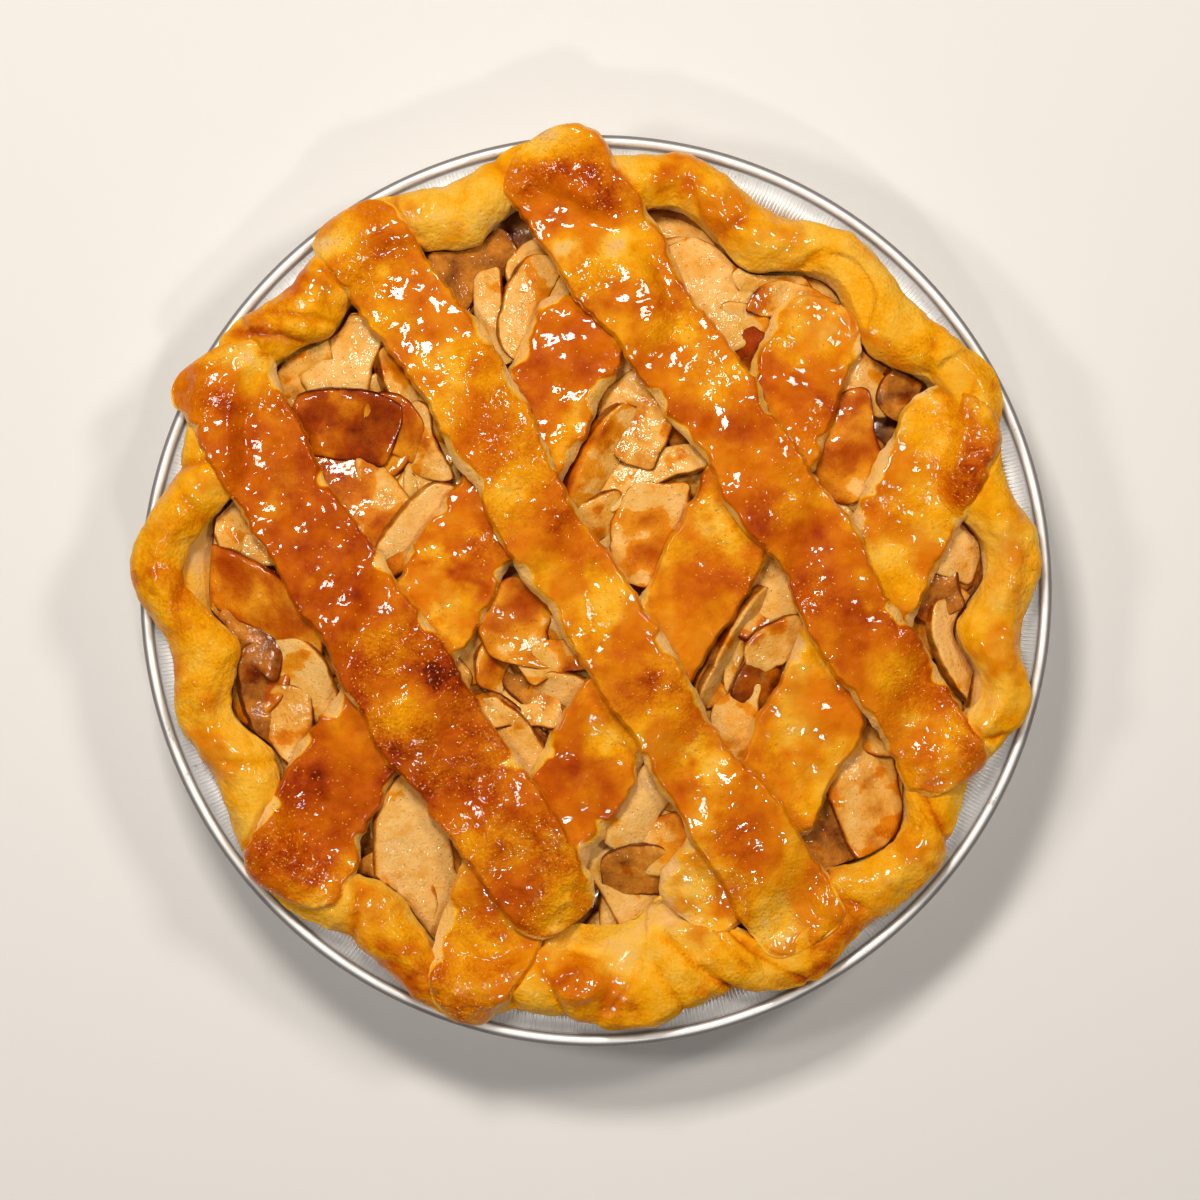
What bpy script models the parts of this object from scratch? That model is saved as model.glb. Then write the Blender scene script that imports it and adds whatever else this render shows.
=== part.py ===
"""Lattice apple pie baked in its own 9 inch foil tin.

The tin is a turned sheet with a rolled bead. A pastry shell lines it and ends in a fat hand-crimped rim that
lies on the tin's flange. Apple slices fill the shell, and six flat pastry strips make the lattice: three cross
strips lie on the apple, and three long strips lie over them. Strip ends are pressed into the rim.

Sizes are in millimetres, and MM turns them into metres as a mesh is made. Bearings are in degrees, measured
anticlockwise from +X. The origin is the centre of the tin's flat underside, with +Z up.
"""

import math

import bmesh
import bpy
import numpy as np

MM = 0.001
GAP = 0.3  # clearance kept between neighbouring pieces
SEAT = 0.45  # clearance under a strip, which also covers the flat facets

# The foil tin
TIN_SHEET = 0.5
TIN_BASE_RADIUS = 88.0
TIN_BEND_RADIUS = 92.0
TIN_MOUTH_RADIUS = 110.4
TIN_RIM_RADIUS = 122.5
TIN_BEND_HEIGHT = 2.5
TIN_MOUTH_HEIGHT = 29.3
TIN_FLANGE_HEIGHT = 30.0
TIN_BEAD_RADIUS = 1.6
TIN_SIDES = 72

# The pastry shell
SHELL_THICKNESS = 4.2
SHELL_SIDES = 120
RIM_TOP = 42.6
RIM_WAIST = 36.5
RIM_WIDTH_AT_CREST = 14.5
RIM_WIDTH_AT_VALLEY = 17.5
FLANGE_CLEARANCE = 31.2
BEAD_CLEARANCE = 33.0

# Crimps of the rim: bearing and radius of each outward crest, then of the hollow after it
CRIMPS = (
    (4, 120.0, 16, 113.5),
    (28, 121.0, 42, 114.0),
    (53, 117.8, 65, 112.3),
    (79, 119.2, 88, 116.6),
    (98, 121.5, 110, 115.5),
    (123, 120.5, 135, 115.8),
    (149, 122.0, 163, 116.8),
    (177, 125.0, 189, 114.8),
    (198, 117.3, 207, 113.8),
    (222, 119.0, 235, 114.4),
    (250, 120.5, 263, 113.8),
    (275, 118.3, 287, 113.5),
    (300, 119.5, 309, 115.2),
    (320, 118.5, 333, 111.8),
    (345, 121.0, 354, 114.2),
)

# The filling: its top is a low dome over the apple, and its core lies lower between the slices
DOME_CENTRE = 40.0
DOME_EDGE = 33.0
DOME_RADIUS = 100.0
CORE_DROP = 5.0
CORE_RINGS = (18, 36, 54, 70, 84, 95)
CORE_SIDES = 48
SLICE_THICKNESS = 4.6

# The lattice
STRIP_THICKNESS = 4.4
STRIP_SPACING = 8.0
CROSSING_EASE = 9.0
SPAN_LIFT = 1.6
CROSSING_LIFT = STRIP_THICKNESS + 0.6
RIM_PRESS = 2.6  # how far a strip's end is pressed into the rim
END_THINNING = 0.28  # share of its thickness that a strip loses there
END_ROUNDING = 3.0  # taken off the half width at a strip's two ends

# Route of each strip as x, y and width. The cross strips run from the lower left to the upper right, and the
# long strips run over them from the upper left to the lower right
CROSS_STRIPS = {
    "strip_cross_left": (
        (-84, -82, 30), (-73, -58, 28), (-60, -35, 26), (-39, 4, 25), (-27, 21, 25), (-15, 46, 26), (0, 76, 26),
    ),
    "strip_cross_middle": (
        (-35, -116, 17), (-31, -97, 27), (-20, -76, 26), (-5, -53, 26), (9, -28, 24), (22, -7, 25), (34, 14, 25),
        (50, 46, 26), (62, 78, 25),
    ),
    "strip_cross_right": (
        (24, -88, 22), (38, -68, 25), (51, -50, 25), (58, -34, 26), (74, 0, 26), (83, 20, 27), (94, 40, 28),
        (101, 52, 25),
    ),
}
LONG_STRIPS = {
    "strip_long_left": (
        (-105, 63, 29), (-96, 48, 27), (-84, 27, 25), (-72, 7, 26), (-59, -12, 28), (-45, -35, 29), (-30, -55, 28),
        (-15, -77, 26), (-6, -89, 22),
    ),
    "strip_long_middle": (
        (-67, 102, 26), (-59, 88, 25), (-38, 60, 24), (-26, 38, 23), (-14, 16, 23), (0, -5, 22), (12, -24, 22),
        (26, -46, 22), (38, -63, 24), (50, -82, 27), (57, -95, 29),
    ),
    "strip_long_right": (
        (-17, 121, 26), (-7, 107, 30), (5, 88, 28), (16, 72, 25), (28, 56, 25), (39, 40, 24), (48, 25, 23),
        (60, 10, 23), (67, -5, 24), (78, -22, 24), (87, -35, 23), (97, -52, 25),
    ),
}

# Apple slices that show between the strips: x, y, length, width, bearing of the long side, lean about that side
# and height above the core's usual level
SLICES = (
    (-80, 60, 17, 15, 20, 6, 0.0),
    (-68, 65, 20, 12, 60, -10, 0.6),
    (-52, 56, 18, 8, 118, 20, 0.4),
    (-66, 45, 30, 14, -4, 8, 1.6),
    (-47, 40, 19, 9, 112, -18, 1.4),
    (-62, 22, 34, 16, -54, -8, 0.8),
    (-48, 17, 24, 9, 54, 14, 1.2),
    (-33, 88, 24, 14, 40, 8, -0.6),
    (-28, 75, 26, 8, 101, -16, 0.6),
    (-19, 79, 28, 13, 76, 10, 0.8),
    (12, 47, 22, 18, 60, -8, 0.8),
    (1, 34, 30, 10, 65, 18, 2.0),
    (15, 31, 28, 8, 22, -16, 1.2),
    (2, 20, 14, 9, 30, 10, 0.4),
    (14, 15, 24, 15, 84, -8, 2.2),
    (-18, -12, 26, 22, 70, 6, 2.0),
    (-21, -32, 20, 9, 2, -18, 0.8),
    (-8, -28, 16, 9, -20, 10, 0.2),
    (-24, -42, 26, 13, -52, 10, 0.4),
    (32, 80, 29, 14, -50, -8, 1.0),
    (47, 83, 15, 9, 10, 8, 0.4),
    (56, 74, 24, 10, -25, -8, 1.6),
    (73, 58, 17, 12, 80, 8, 0.2),
    (81, 53, 11, 8, 60, 4, 0.0),
    (67, 38, 24, 15, 104, -8, 1.8),
    (98, 14, 19, 11, 70, 10, 0.4),
    (91, 1, 15, 11, 100, -6, 0.0),
    (97, -17, 26, 8, 114, 16, 0.8),
    (48, 0, 18, 11, 96, -12, 0.4),
    (50, -14, 19, 10, 20, 8, 1.4),
    (43, -25, 11, 9, 60, 6, 0.2),
    (36, -14, 30, 6, 63, 30, 1.2),
    (31, -17, 26, 6, 64, 34, 0.6),
    (39, -37, 18, 12, 100, -6, 0.6),
    (75, -56, 36, 17, 108, 6, 1.0),
    (64, -68, 19, 14, 10, -8, -0.4),
    (12, -57, 24, 13, 60, 8, 1.0),
    (22, -68, 16, 14, 70, -12, 1.0),
    (12, -74, 20, 12, 2, 8, 0.2),
    (34, -83, 16, 10, 20, 4, 0.0),
    (-48, -73, 42, 16, 97, 6, 0.8),
    (-58, -77, 12, 9, 120, -8, 0.0),
    (-98, 19, 14, 8, 110, 8, 0.2),
    (-94, 10, 16, 7, 6, -10, 0.2),
    (-92, -3, 36, 14, -29, 8, 1.6),
    (-93, -14, 18, 9, -34, -8, 0.2),
    (-78, -24, 20, 11, -70, 8, 1.2),
    (-90, -28, 24, 8, 106, 12, 0.0),
    (-82, -36, 18, 10, 96, -10, 0.6),
)

# Base colour, roughness and metallic value of each piece
FOIL = ((0.78, 0.78, 0.79), 0.28, 1.0)
RIM_CRUST = ((0.80, 0.40, 0.09), 0.30, 0.0)
CROSS_CRUST = ((0.72, 0.33, 0.07), 0.22, 0.0)
LONG_CRUST = ((0.62, 0.22, 0.03), 0.22, 0.0)
APPLE = ((0.78, 0.48, 0.20), 0.35, 0.0)


def clear_scene():
    """Remove every object of the scene."""
    for old in list(bpy.data.objects):
        bpy.data.objects.remove(old, do_unlink=True)


def dress(obj, finish):
    """Give an object its own Principled material."""
    colour, roughness, metallic = finish
    material = bpy.data.materials.new(obj.name)
    material.use_nodes = True
    shader = material.node_tree.nodes["Principled BSDF"]
    shader.inputs["Base Color"].default_value = (*colour, 1.0)
    shader.inputs["Roughness"].default_value = roughness
    shader.inputs["Metallic"].default_value = metallic
    obj.data.materials.clear()
    obj.data.materials.append(material)


def mesh_object(name, points, faces, smooth_angle=40.0):
    """Make an object from points in millimetres, with its faces turned outwards and split into triangles."""
    mesh = bpy.data.meshes.new(name)
    mesh.from_pydata((np.asarray(points) * MM).tolist(), [], faces)
    work = bmesh.new()
    work.from_mesh(mesh)
    bmesh.ops.recalc_face_normals(work, faces=work.faces)
    bmesh.ops.triangulate(work, faces=work.faces)
    work.to_mesh(mesh)
    work.free()
    mesh.shade_smooth()
    mesh.set_sharp_from_angle(angle=math.radians(smooth_angle))
    obj = bpy.data.objects.new(name, mesh)
    bpy.context.scene.collection.objects.link(obj)
    return obj


def ease(value):
    """Smooth step from 0 to 1."""
    t = np.clip(value, 0.0, 1.0)
    return t * t * (3.0 - 2.0 * t)


def turned_rings(rings, sides, name):
    """Join rings of points into one closed solid. The first and the last entry are points on the axis."""
    points = [rings[0]]
    for ring in rings[1:-1]:
        points.extend(ring)
    points.append(rings[-1])
    last = len(points) - 1
    faces = []
    for side in range(sides):
        after = (side + 1) % sides
        faces.append((0, 1 + after, 1 + side))
        for ring in range(len(rings) - 3):
            low = 1 + ring * sides
            high = low + sides
            faces.append((low + side, low + after, high + after, high + side))
        top = 1 + (len(rings) - 3) * sides
        faces.append((top + side, top + after, last))
    return mesh_object(name, points, faces)


def circle_ring(radius, height, sides):
    """Points of a level circle."""
    turns = np.arange(sides) * (2.0 * math.pi / sides)
    return [(radius * math.cos(a), radius * math.sin(a), height) for a in turns]


def make_tin():
    """Foil tin: flat base, sloping wall, flange and rolled bead, as one turned sheet."""
    bead_centre = TIN_RIM_RADIUS - TIN_BEAD_RADIUS
    bead_height = TIN_FLANGE_HEIGHT + 0.7
    slope = math.atan2(TIN_MOUTH_RADIUS - TIN_BEND_RADIUS, TIN_MOUTH_HEIGHT - TIN_BEND_HEIGHT)
    inward = TIN_SHEET * math.cos(slope)
    upward = TIN_SHEET * math.sin(slope)
    profile = [
        (TIN_BASE_RADIUS, 0.0),
        (TIN_BEND_RADIUS, TIN_BEND_HEIGHT),
        (TIN_MOUTH_RADIUS, TIN_MOUTH_HEIGHT),
        (TIN_MOUTH_RADIUS + 1.6, TIN_FLANGE_HEIGHT),
        (bead_centre - TIN_BEAD_RADIUS, TIN_FLANGE_HEIGHT + 0.2),
        (bead_centre, bead_height - TIN_BEAD_RADIUS),
        (bead_centre + TIN_BEAD_RADIUS, bead_height),
        (bead_centre, bead_height + TIN_BEAD_RADIUS),
        (bead_centre - TIN_BEAD_RADIUS, bead_height + 0.3),
        (TIN_MOUTH_RADIUS + 1.3, TIN_FLANGE_HEIGHT + TIN_SHEET),
        (TIN_MOUTH_RADIUS - inward, TIN_MOUTH_HEIGHT + upward),
        (TIN_BEND_RADIUS - inward, TIN_BEND_HEIGHT + upward),
        (TIN_BASE_RADIUS - 0.2, TIN_SHEET),
    ]
    rings = [(0.0, 0.0, 0.0)]
    rings += [circle_ring(radius, height, TIN_SIDES) for radius, height in profile]
    rings.append((0.0, 0.0, TIN_SHEET))
    return turned_rings(rings, TIN_SIDES, "tin")


def between_crimps(bearing, crest_value, valley_value):
    """Value at a bearing that swings smoothly between crests and hollows of the rim."""
    stations = []
    for index, (crest, _, valley, _) in enumerate(CRIMPS):
        stations.append((crest, crest_value(index)))
        stations.append((valley, valley_value(index)))
    angles = [station[0] for station in stations]
    values = [station[1] for station in stations]
    angles = np.array([angles[-1] - 360.0] + angles + [angles[0] + 360.0])
    values = np.array([values[-1]] + values + [values[0]])
    turn = np.mod(np.asarray(bearing, float), 360.0)
    index = np.clip(np.searchsorted(angles, turn, side="right") - 1, 0, len(angles) - 2)
    share = ease((turn - angles[index]) / (angles[index + 1] - angles[index]))
    return values[index] * (1.0 - share) + values[index + 1] * share


def rim_outer(bearing):
    """Radius of the rim's outer edge."""
    return between_crimps(bearing, lambda i: CRIMPS[i][1], lambda i: CRIMPS[i][3])


def rim_inner(bearing):
    """Radius of the rim's inner edge, which follows the outer one."""
    width = between_crimps(bearing, lambda i: RIM_WIDTH_AT_CREST, lambda i: RIM_WIDTH_AT_VALLEY)
    return rim_outer(bearing) - width


def rim_height(bearing):
    """Height of the rim's ridge, which dips a little at each crest."""
    return between_crimps(bearing, lambda i: RIM_TOP - 0.8 + 0.5 * math.sin(2.1 * i), lambda i: RIM_TOP)


def rim_surface(x, y):
    """Height of the rim's upper side over a point, or a low value away from the rim."""
    radius = np.hypot(x, y)
    bearing = np.degrees(np.arctan2(y, x))
    inner = rim_inner(bearing)
    outer = rim_outer(bearing)
    top = rim_height(bearing)
    climb = ease((radius - inner + 2.0) / 5.0)
    drop = ease((radius - outer + 5.0) / 9.0)
    height = DOME_EDGE + (top - DOME_EDGE) * climb
    return height - (top - RIM_WAIST) * drop


def dome(x, y):
    """Height of the filling's mean top over a point."""
    share = np.clip(np.hypot(x, y) / DOME_RADIUS, 0.0, 1.15)
    return DOME_CENTRE - (DOME_CENTRE - DOME_EDGE) * share**2.4


def route_points(route, spacing):
    """Even points along a smooth curve through a strip's route, each with its width."""
    knots = np.array(route, float)
    knots = np.vstack([2 * knots[0] - knots[1], knots, 2 * knots[-1] - knots[-2]])
    dense = []
    for i in range(1, len(knots) - 2):
        before, start, end, after = knots[i - 1 : i + 3]
        for t in np.linspace(0.0, 1.0, 24, endpoint=False):
            dense.append(
                0.5
                * (
                    2 * start
                    + (end - before) * t
                    + (2 * before - 5 * start + 4 * end - after) * t**2
                    + (3 * start - before - 3 * end + after) * t**3
                )
            )
    dense.append(knots[-2])
    dense = np.array(dense)
    lengths = np.r_[0.0, np.cumsum(np.hypot(*np.diff(dense[:, :2], axis=0).T))]
    count = max(2, round(lengths[-1] / spacing))
    stops = np.linspace(0.0, lengths[-1], count + 1)
    return np.column_stack([np.interp(stops, lengths, dense[:, k]) for k in range(3)])


def distance_to_route(route, x, y):
    """Distance from points to a strip's centreline, less the strip's half width there."""
    line = route_points(route, 2.0)
    apart = np.hypot(np.asarray(x)[..., None] - line[:, 0], np.asarray(y)[..., None] - line[:, 1])
    nearest = apart.argmin(axis=-1)
    return apart.min(axis=-1) - 0.5 * line[nearest, 2]


def on_rim(x, y):
    """Share from 0 over the apple to 1 over the rim."""
    return ease((np.hypot(x, y) - rim_inner(np.degrees(np.arctan2(y, x))) + 5.0) / 9.0)


def cross_rest(x, y):
    """Height of a cross strip's underside: it lies on the apple and is pressed into the rim."""
    return np.maximum(dome(x, y), rim_surface(x, y) - RIM_PRESS) + SEAT


def long_rest(x, y):
    """Height of a long strip's underside: it rises over each cross strip and sags between them."""
    lift = SPAN_LIFT * (1.0 - on_rim(x, y))
    for route in CROSS_STRIPS.values():
        near = ease((CROSSING_EASE - distance_to_route(route, x, y)) / (CROSSING_EASE - 1.5))
        lift = np.maximum(lift, CROSSING_LIFT * near)
    return cross_rest(x, y) + lift


# Cross-section of a strip, anticlockwise from its lower left: share of the half width and of the thickness
STRIP_SECTION = (
    (-0.94, 0.0),
    (0.0, 0.0),
    (0.94, 0.0),
    (1.0, 0.42),
    (0.84, 0.88),
    (0.0, 1.0),
    (-0.84, 0.88),
    (-1.0, 0.42),
)


def make_strip(name, route, rest):
    """Flat pastry strip along its route, lying on the heights that rest gives."""
    line = route_points(route, STRIP_SPACING)
    along = np.gradient(line[:, :2], axis=0)
    along /= np.linalg.norm(along, axis=1)[:, None]
    side = np.column_stack([along[:, 1], -along[:, 0]])
    half = 0.5 * line[:, 2]
    half[[0, -1]] -= END_ROUNDING
    points = []
    for share, level in STRIP_SECTION:
        across = line[:, :2] + side * (half * share)[:, None]
        thickness = STRIP_THICKNESS * (1.0 - END_THINNING * on_rim(across[:, 0], across[:, 1]))
        height = rest(across[:, 0], across[:, 1]) + thickness * level
        points.append(np.column_stack([across, height]))
    points = np.stack(points, axis=1)
    sides = len(STRIP_SECTION)
    faces = [tuple(range(sides)), tuple(range((len(line) - 1) * sides, len(line) * sides))]
    for station in range(len(line) - 1):
        for corner in range(sides):
            after = (corner + 1) % sides
            low = station * sides
            faces.append((low + corner, low + after, low + sides + after, low + sides + corner))
    return mesh_object(name, points.reshape(-1, 3), faces)


def wall_radius(height, inset):
    """Radius of the tin's inner wall at a height, less an inset."""
    share = (height - TIN_BEND_HEIGHT) / (TIN_MOUTH_HEIGHT - TIN_BEND_HEIGHT)
    return TIN_BEND_RADIUS + (TIN_MOUTH_RADIUS - TIN_BEND_RADIUS) * share - inset


def make_crust():
    """Pastry shell with its crimped rim, as one closed solid of rings from the underside to the inside."""
    bearings = np.arange(SHELL_SIDES) * (360.0 / SHELL_SIDES)
    turns = np.radians(bearings)
    outer = rim_outer(bearings)
    inner = rim_inner(bearings)
    top = rim_height(bearings)
    level = np.ones(SHELL_SIDES)
    floor = TIN_SHEET + GAP
    wall_inset = TIN_SHEET + 2.0 * GAP
    lip = np.minimum(inner + 0.6, wall_radius(30.0, wall_inset + SHELL_THICKNESS))
    sections = [
        ((TIN_BASE_RADIUS - 0.6) * level, floor * level),
        (wall_radius(3.4, wall_inset) * level, 3.4 * level),
        (wall_radius(29.6, wall_inset) * level, 29.6 * level),
        ((TIN_MOUTH_RADIUS + 1.0) * level, FLANGE_CLEARANCE * level),
        (np.minimum(117.5, outer - 3.0), FLANGE_CLEARANCE * level),
        (outer - 1.0, BEAD_CLEARANCE + 0.5 * np.maximum(outer - TIN_RIM_RADIUS + TIN_BEAD_RADIUS, 0.0)),
        (outer, RIM_WAIST * level),
        (outer - 2.6, top - 2.8),
        (0.48 * outer + 0.52 * inner, top),
        (inner + 2.6, top - 2.2),
        (inner, RIM_WAIST * level),
        (lip, 31.0 * level),
        ((TIN_BASE_RADIUS - 3.0) * level, (floor + SHELL_THICKNESS) * level),
    ]
    rings = [(0.0, 0.0, floor)]
    for radius, height in sections:
        rings.append(np.column_stack([radius * np.cos(turns), radius * np.sin(turns), height]).tolist())
    rings.append((0.0, 0.0, floor + SHELL_THICKNESS))
    return turned_rings(rings, SHELL_SIDES, "crust")


def make_core():
    """Filling below the slices: it fills the shell and its top follows the dome, lower down."""
    bearings = np.arange(CORE_SIDES) * (360.0 / CORE_SIDES)
    turns = np.radians(bearings)
    level = np.ones(CORE_SIDES)
    # The shell's facets are finer than the core's, so the core keeps a wider clearance from it
    inset = 3.0 * GAP
    narrowest = np.min([rim_inner(bearings + step) for step in np.linspace(-4.0, 4.0, 9)], axis=0)
    lip = np.minimum(narrowest + 0.6, wall_radius(30.0, TIN_SHEET + 2.0 * GAP + SHELL_THICKNESS)) - inset
    floor = TIN_SHEET + GAP + SHELL_THICKNESS
    sections = [
        ((TIN_BASE_RADIUS - 3.0) * level - inset, (floor + 2.0 * GAP) * level),
        (lip, 30.0 * level),
    ]
    for radius in reversed(CORE_RINGS):
        wave = 0.8 * np.sin(3.0 * turns + 0.11 * radius) + 0.6 * np.sin(7.0 * turns - 0.2 * radius)
        height = dome(radius * np.cos(turns), radius * np.sin(turns)) - CORE_DROP + wave
        sections.append((np.minimum(radius, lip - 1.0), height))
    rings = [(0.0, 0.0, floor + 2.0 * GAP)]
    for radius, height in sections:
        rings.append(np.column_stack([radius * np.cos(turns), radius * np.sin(turns), height]).tolist())
    rings.append((0.0, 0.0, DOME_CENTRE - CORE_DROP))
    return turned_rings(rings, CORE_SIDES, "filling")


def make_slice(index, placing):
    """One crescent slice of apple, thin at its core side and thick at its peel side, with few sides."""
    x, y, length, width, bearing, lean, lift = placing
    stations = np.array([-0.5, -0.22, 0.12, 0.5])
    fullness = np.array([0.35, 0.95, 1.0, 0.45])
    bow = 0.16 * length * (1.0 - 4.0 * stations**2)
    points = []
    for share, full, arch in zip(stations, fullness, bow):
        half = 0.5 * width * full
        thick = SLICE_THICKNESS * (0.55 + 0.45 * full)
        for across, level in ((-half, -0.22), (half, -0.5), (half, 0.5), (-half, 0.22)):
            points.append((share * length, across + arch - 0.08 * length, level * thick))
    points = np.array(points)
    roll = math.radians(lean)
    across = points[:, 1] * math.cos(roll) - points[:, 2] * math.sin(roll)
    up = points[:, 1] * math.sin(roll) + points[:, 2] * math.cos(roll)
    turn = math.radians(bearing)
    plan_x = x + points[:, 0] * math.cos(turn) - across * math.sin(turn)
    plan_y = y + points[:, 0] * math.sin(turn) + across * math.cos(turn)
    height = dome(plan_x, plan_y) - CORE_DROP + 1.9 + lift + up
    faces = [(0, 1, 2, 3), (12, 13, 14, 15)]
    for station in range(3):
        for corner in range(4):
            after = (corner + 1) % 4
            low = 4 * station
            faces.append((low + corner, low + after, low + 4 + after, low + 4 + corner))
    return mesh_object(f"slice_{index:02d}", np.column_stack([plan_x, plan_y, height]), faces)


def apply_boolean(obj, operation, others, solver="EXACT"):
    """Join or cut an object with a collection of others, apply the result and remove the others."""
    group = bpy.data.collections.new(obj.name + "_tools")
    bpy.context.scene.collection.children.link(group)
    for other in others:
        bpy.context.scene.collection.objects.unlink(other)
        group.objects.link(other)
    modifier = obj.modifiers.new(operation.lower(), "BOOLEAN")
    modifier.operation = operation
    modifier.operand_type = "COLLECTION"
    modifier.collection = group
    modifier.solver = solver
    bpy.context.view_layer.update()
    result = bpy.data.meshes.new_from_object(obj.evaluated_get(bpy.context.evaluated_depsgraph_get()))
    obj.modifiers.clear()
    obj.data = result
    for other in others:
        bpy.data.objects.remove(other, do_unlink=True)
    bpy.data.collections.remove(group)


def keep_largest_body(obj):
    """Drop the loose scraps that a cut leaves beside the main body."""
    work = bmesh.new()
    work.from_mesh(obj.data)
    unseen = set(work.verts)
    bodies = []
    while unseen:
        seed = unseen.pop()
        body = {seed}
        waiting = [seed]
        while waiting:
            vertex = waiting.pop()
            for edge in vertex.link_edges:
                other = edge.other_vert(vertex)
                if other in unseen:
                    unseen.discard(other)
                    body.add(other)
                    waiting.append(other)
        bodies.append(body)
    bodies.sort(key=len)
    for body in bodies[:-1]:
        bmesh.ops.delete(work, geom=list(body), context="VERTS")
    bmesh.ops.triangulate(work, faces=work.faces)
    work.to_mesh(obj.data)
    work.free()
    obj.data.shade_smooth()
    obj.data.set_sharp_from_angle(angle=math.radians(40.0))


def bed_of(piece, clearance):
    """Copy of a piece, grown outwards all over by a clearance, that cuts the piece's bed in its neighbours."""
    bed = bpy.data.objects.new("bed_" + piece.name, piece.data.copy())
    bpy.context.scene.collection.objects.link(bed)
    work = bmesh.new()
    work.from_mesh(bed.data)
    work.normal_update()
    shifts = [vertex.normal * (clearance * MM * vertex.calc_shell_factor()) for vertex in work.verts]
    for vertex, shift in zip(work.verts, shifts):
        vertex.co += shift
    work.to_mesh(bed.data)
    work.free()
    return bed


def build():
    """Make every piece of the pie."""
    clear_scene()
    dress(make_tin(), FOIL)

    long_strips = [make_strip(name, route, long_rest) for name, route in LONG_STRIPS.items()]
    cross_strips = [make_strip(name, route, cross_rest) for name, route in CROSS_STRIPS.items()]
    crust = make_crust()
    filling = make_core()
    slices = [make_slice(index, placing) for index, placing in enumerate(SLICES)]
    apply_boolean(filling, "UNION", slices)

    # Each piece is cut clear of those that press into it, as they were before any cut
    strip_beds = [bed_of(strip, GAP) for strip in long_strips + cross_strips]
    apply_boolean(filling, "DIFFERENCE", [*strip_beds, bed_of(crust, GAP)])
    apply_boolean(crust, "DIFFERENCE", [bed_of(strip, GAP) for strip in long_strips + cross_strips], "MANIFOLD")
    for strip in cross_strips:
        apply_boolean(strip, "DIFFERENCE", [bed_of(other, GAP) for other in long_strips])
    for piece in [filling, crust, *cross_strips]:
        keep_largest_body(piece)

    dress(crust, RIM_CRUST)
    dress(filling, APPLE)
    for strip in cross_strips:
        dress(strip, CROSS_CRUST)
    for strip in long_strips:
        dress(strip, LONG_CRUST)


build()
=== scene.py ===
"""Looks of a lattice apple pie in its foil tin: glazed strips, crimped rim, apple slices and crimped foil.

Lengths are in millimetres until a mesh is made, and bearings are in degrees anticlockwise from +X. The
outlines, routes and heights repeat the frame's own, so that each piece lies where its solid lies.
"""

import logging
import math
from dataclasses import dataclass, field
from enum import Enum
from typing import Sequence

import bmesh
import bpy
import numpy as np
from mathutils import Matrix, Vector


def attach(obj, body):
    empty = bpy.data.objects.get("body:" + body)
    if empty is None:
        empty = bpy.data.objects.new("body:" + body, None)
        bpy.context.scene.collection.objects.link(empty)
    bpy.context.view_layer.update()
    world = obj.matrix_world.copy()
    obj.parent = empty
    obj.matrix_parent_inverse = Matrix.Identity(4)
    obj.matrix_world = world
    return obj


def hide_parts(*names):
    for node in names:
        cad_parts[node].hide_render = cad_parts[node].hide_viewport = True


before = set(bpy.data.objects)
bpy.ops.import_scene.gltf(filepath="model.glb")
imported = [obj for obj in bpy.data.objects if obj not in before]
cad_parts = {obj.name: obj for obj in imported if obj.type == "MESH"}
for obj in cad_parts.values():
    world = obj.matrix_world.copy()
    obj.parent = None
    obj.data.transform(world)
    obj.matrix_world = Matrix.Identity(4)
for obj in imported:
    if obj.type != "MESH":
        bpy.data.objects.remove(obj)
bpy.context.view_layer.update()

Array = np.ndarray
Socket = bpy.types.NodeSocket
log = logging.getLogger("pie")

MM = 0.001
BODY = "root"


def table(kind: type, *rows: tuple) -> tuple:
    """One record of a kind for each row of values."""
    return tuple(kind(*row) for row in rows)


# Heights and outlines of the pie


@dataclass(frozen=True)
class Crimp:
    """One outward crest of the rim and the hollow after it: bearings in degrees and radii."""

    crest_bearing: float
    crest_radius: float
    hollow_bearing: float
    hollow_radius: float


CRIMPS = table(
    Crimp,
    (4, 120.0, 16, 113.5), (28, 121.0, 42, 114.0), (53, 117.8, 65, 112.3), (79, 119.2, 88, 116.6),
    (98, 121.5, 110, 115.5), (123, 120.5, 135, 115.8), (149, 122.0, 163, 116.8), (177, 125.0, 189, 114.8),
    (198, 117.3, 207, 113.8), (222, 119.0, 235, 114.4), (250, 120.5, 263, 113.8), (275, 118.3, 287, 113.5),
    (300, 119.5, 309, 115.2), (320, 118.5, 333, 111.8), (345, 121.0, 354, 114.2),
)


def ease(value: Array) -> Array:
    """Smooth step from 0 to 1."""
    share = np.clip(value, 0.0, 1.0)
    return share * share * (3.0 - 2.0 * share)


def between(value: Array, low: float, high: float) -> Array:
    """Smooth step from 0 at low to 1 at high."""
    return ease((value - low) / (high - low))


def curve_point(before: Array, start: Array, end: Array, after: Array, share: float) -> Array:
    """Point at a share of the way along the smooth curve between two knots.

    Args:
        before: Knot before the stretch.
        start: Knot at its start.
        end: Knot at its end.
        after: Knot after the stretch.
        share: Share of the way from start to end.

    Returns:
        The point.
    """
    bend = (2 * before - 5 * start + 4 * end - after) * share**2
    turn = (3 * start - before - 3 * end + after) * share**3
    return 0.5 * (2 * start + (end - before) * share + bend + turn)


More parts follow.
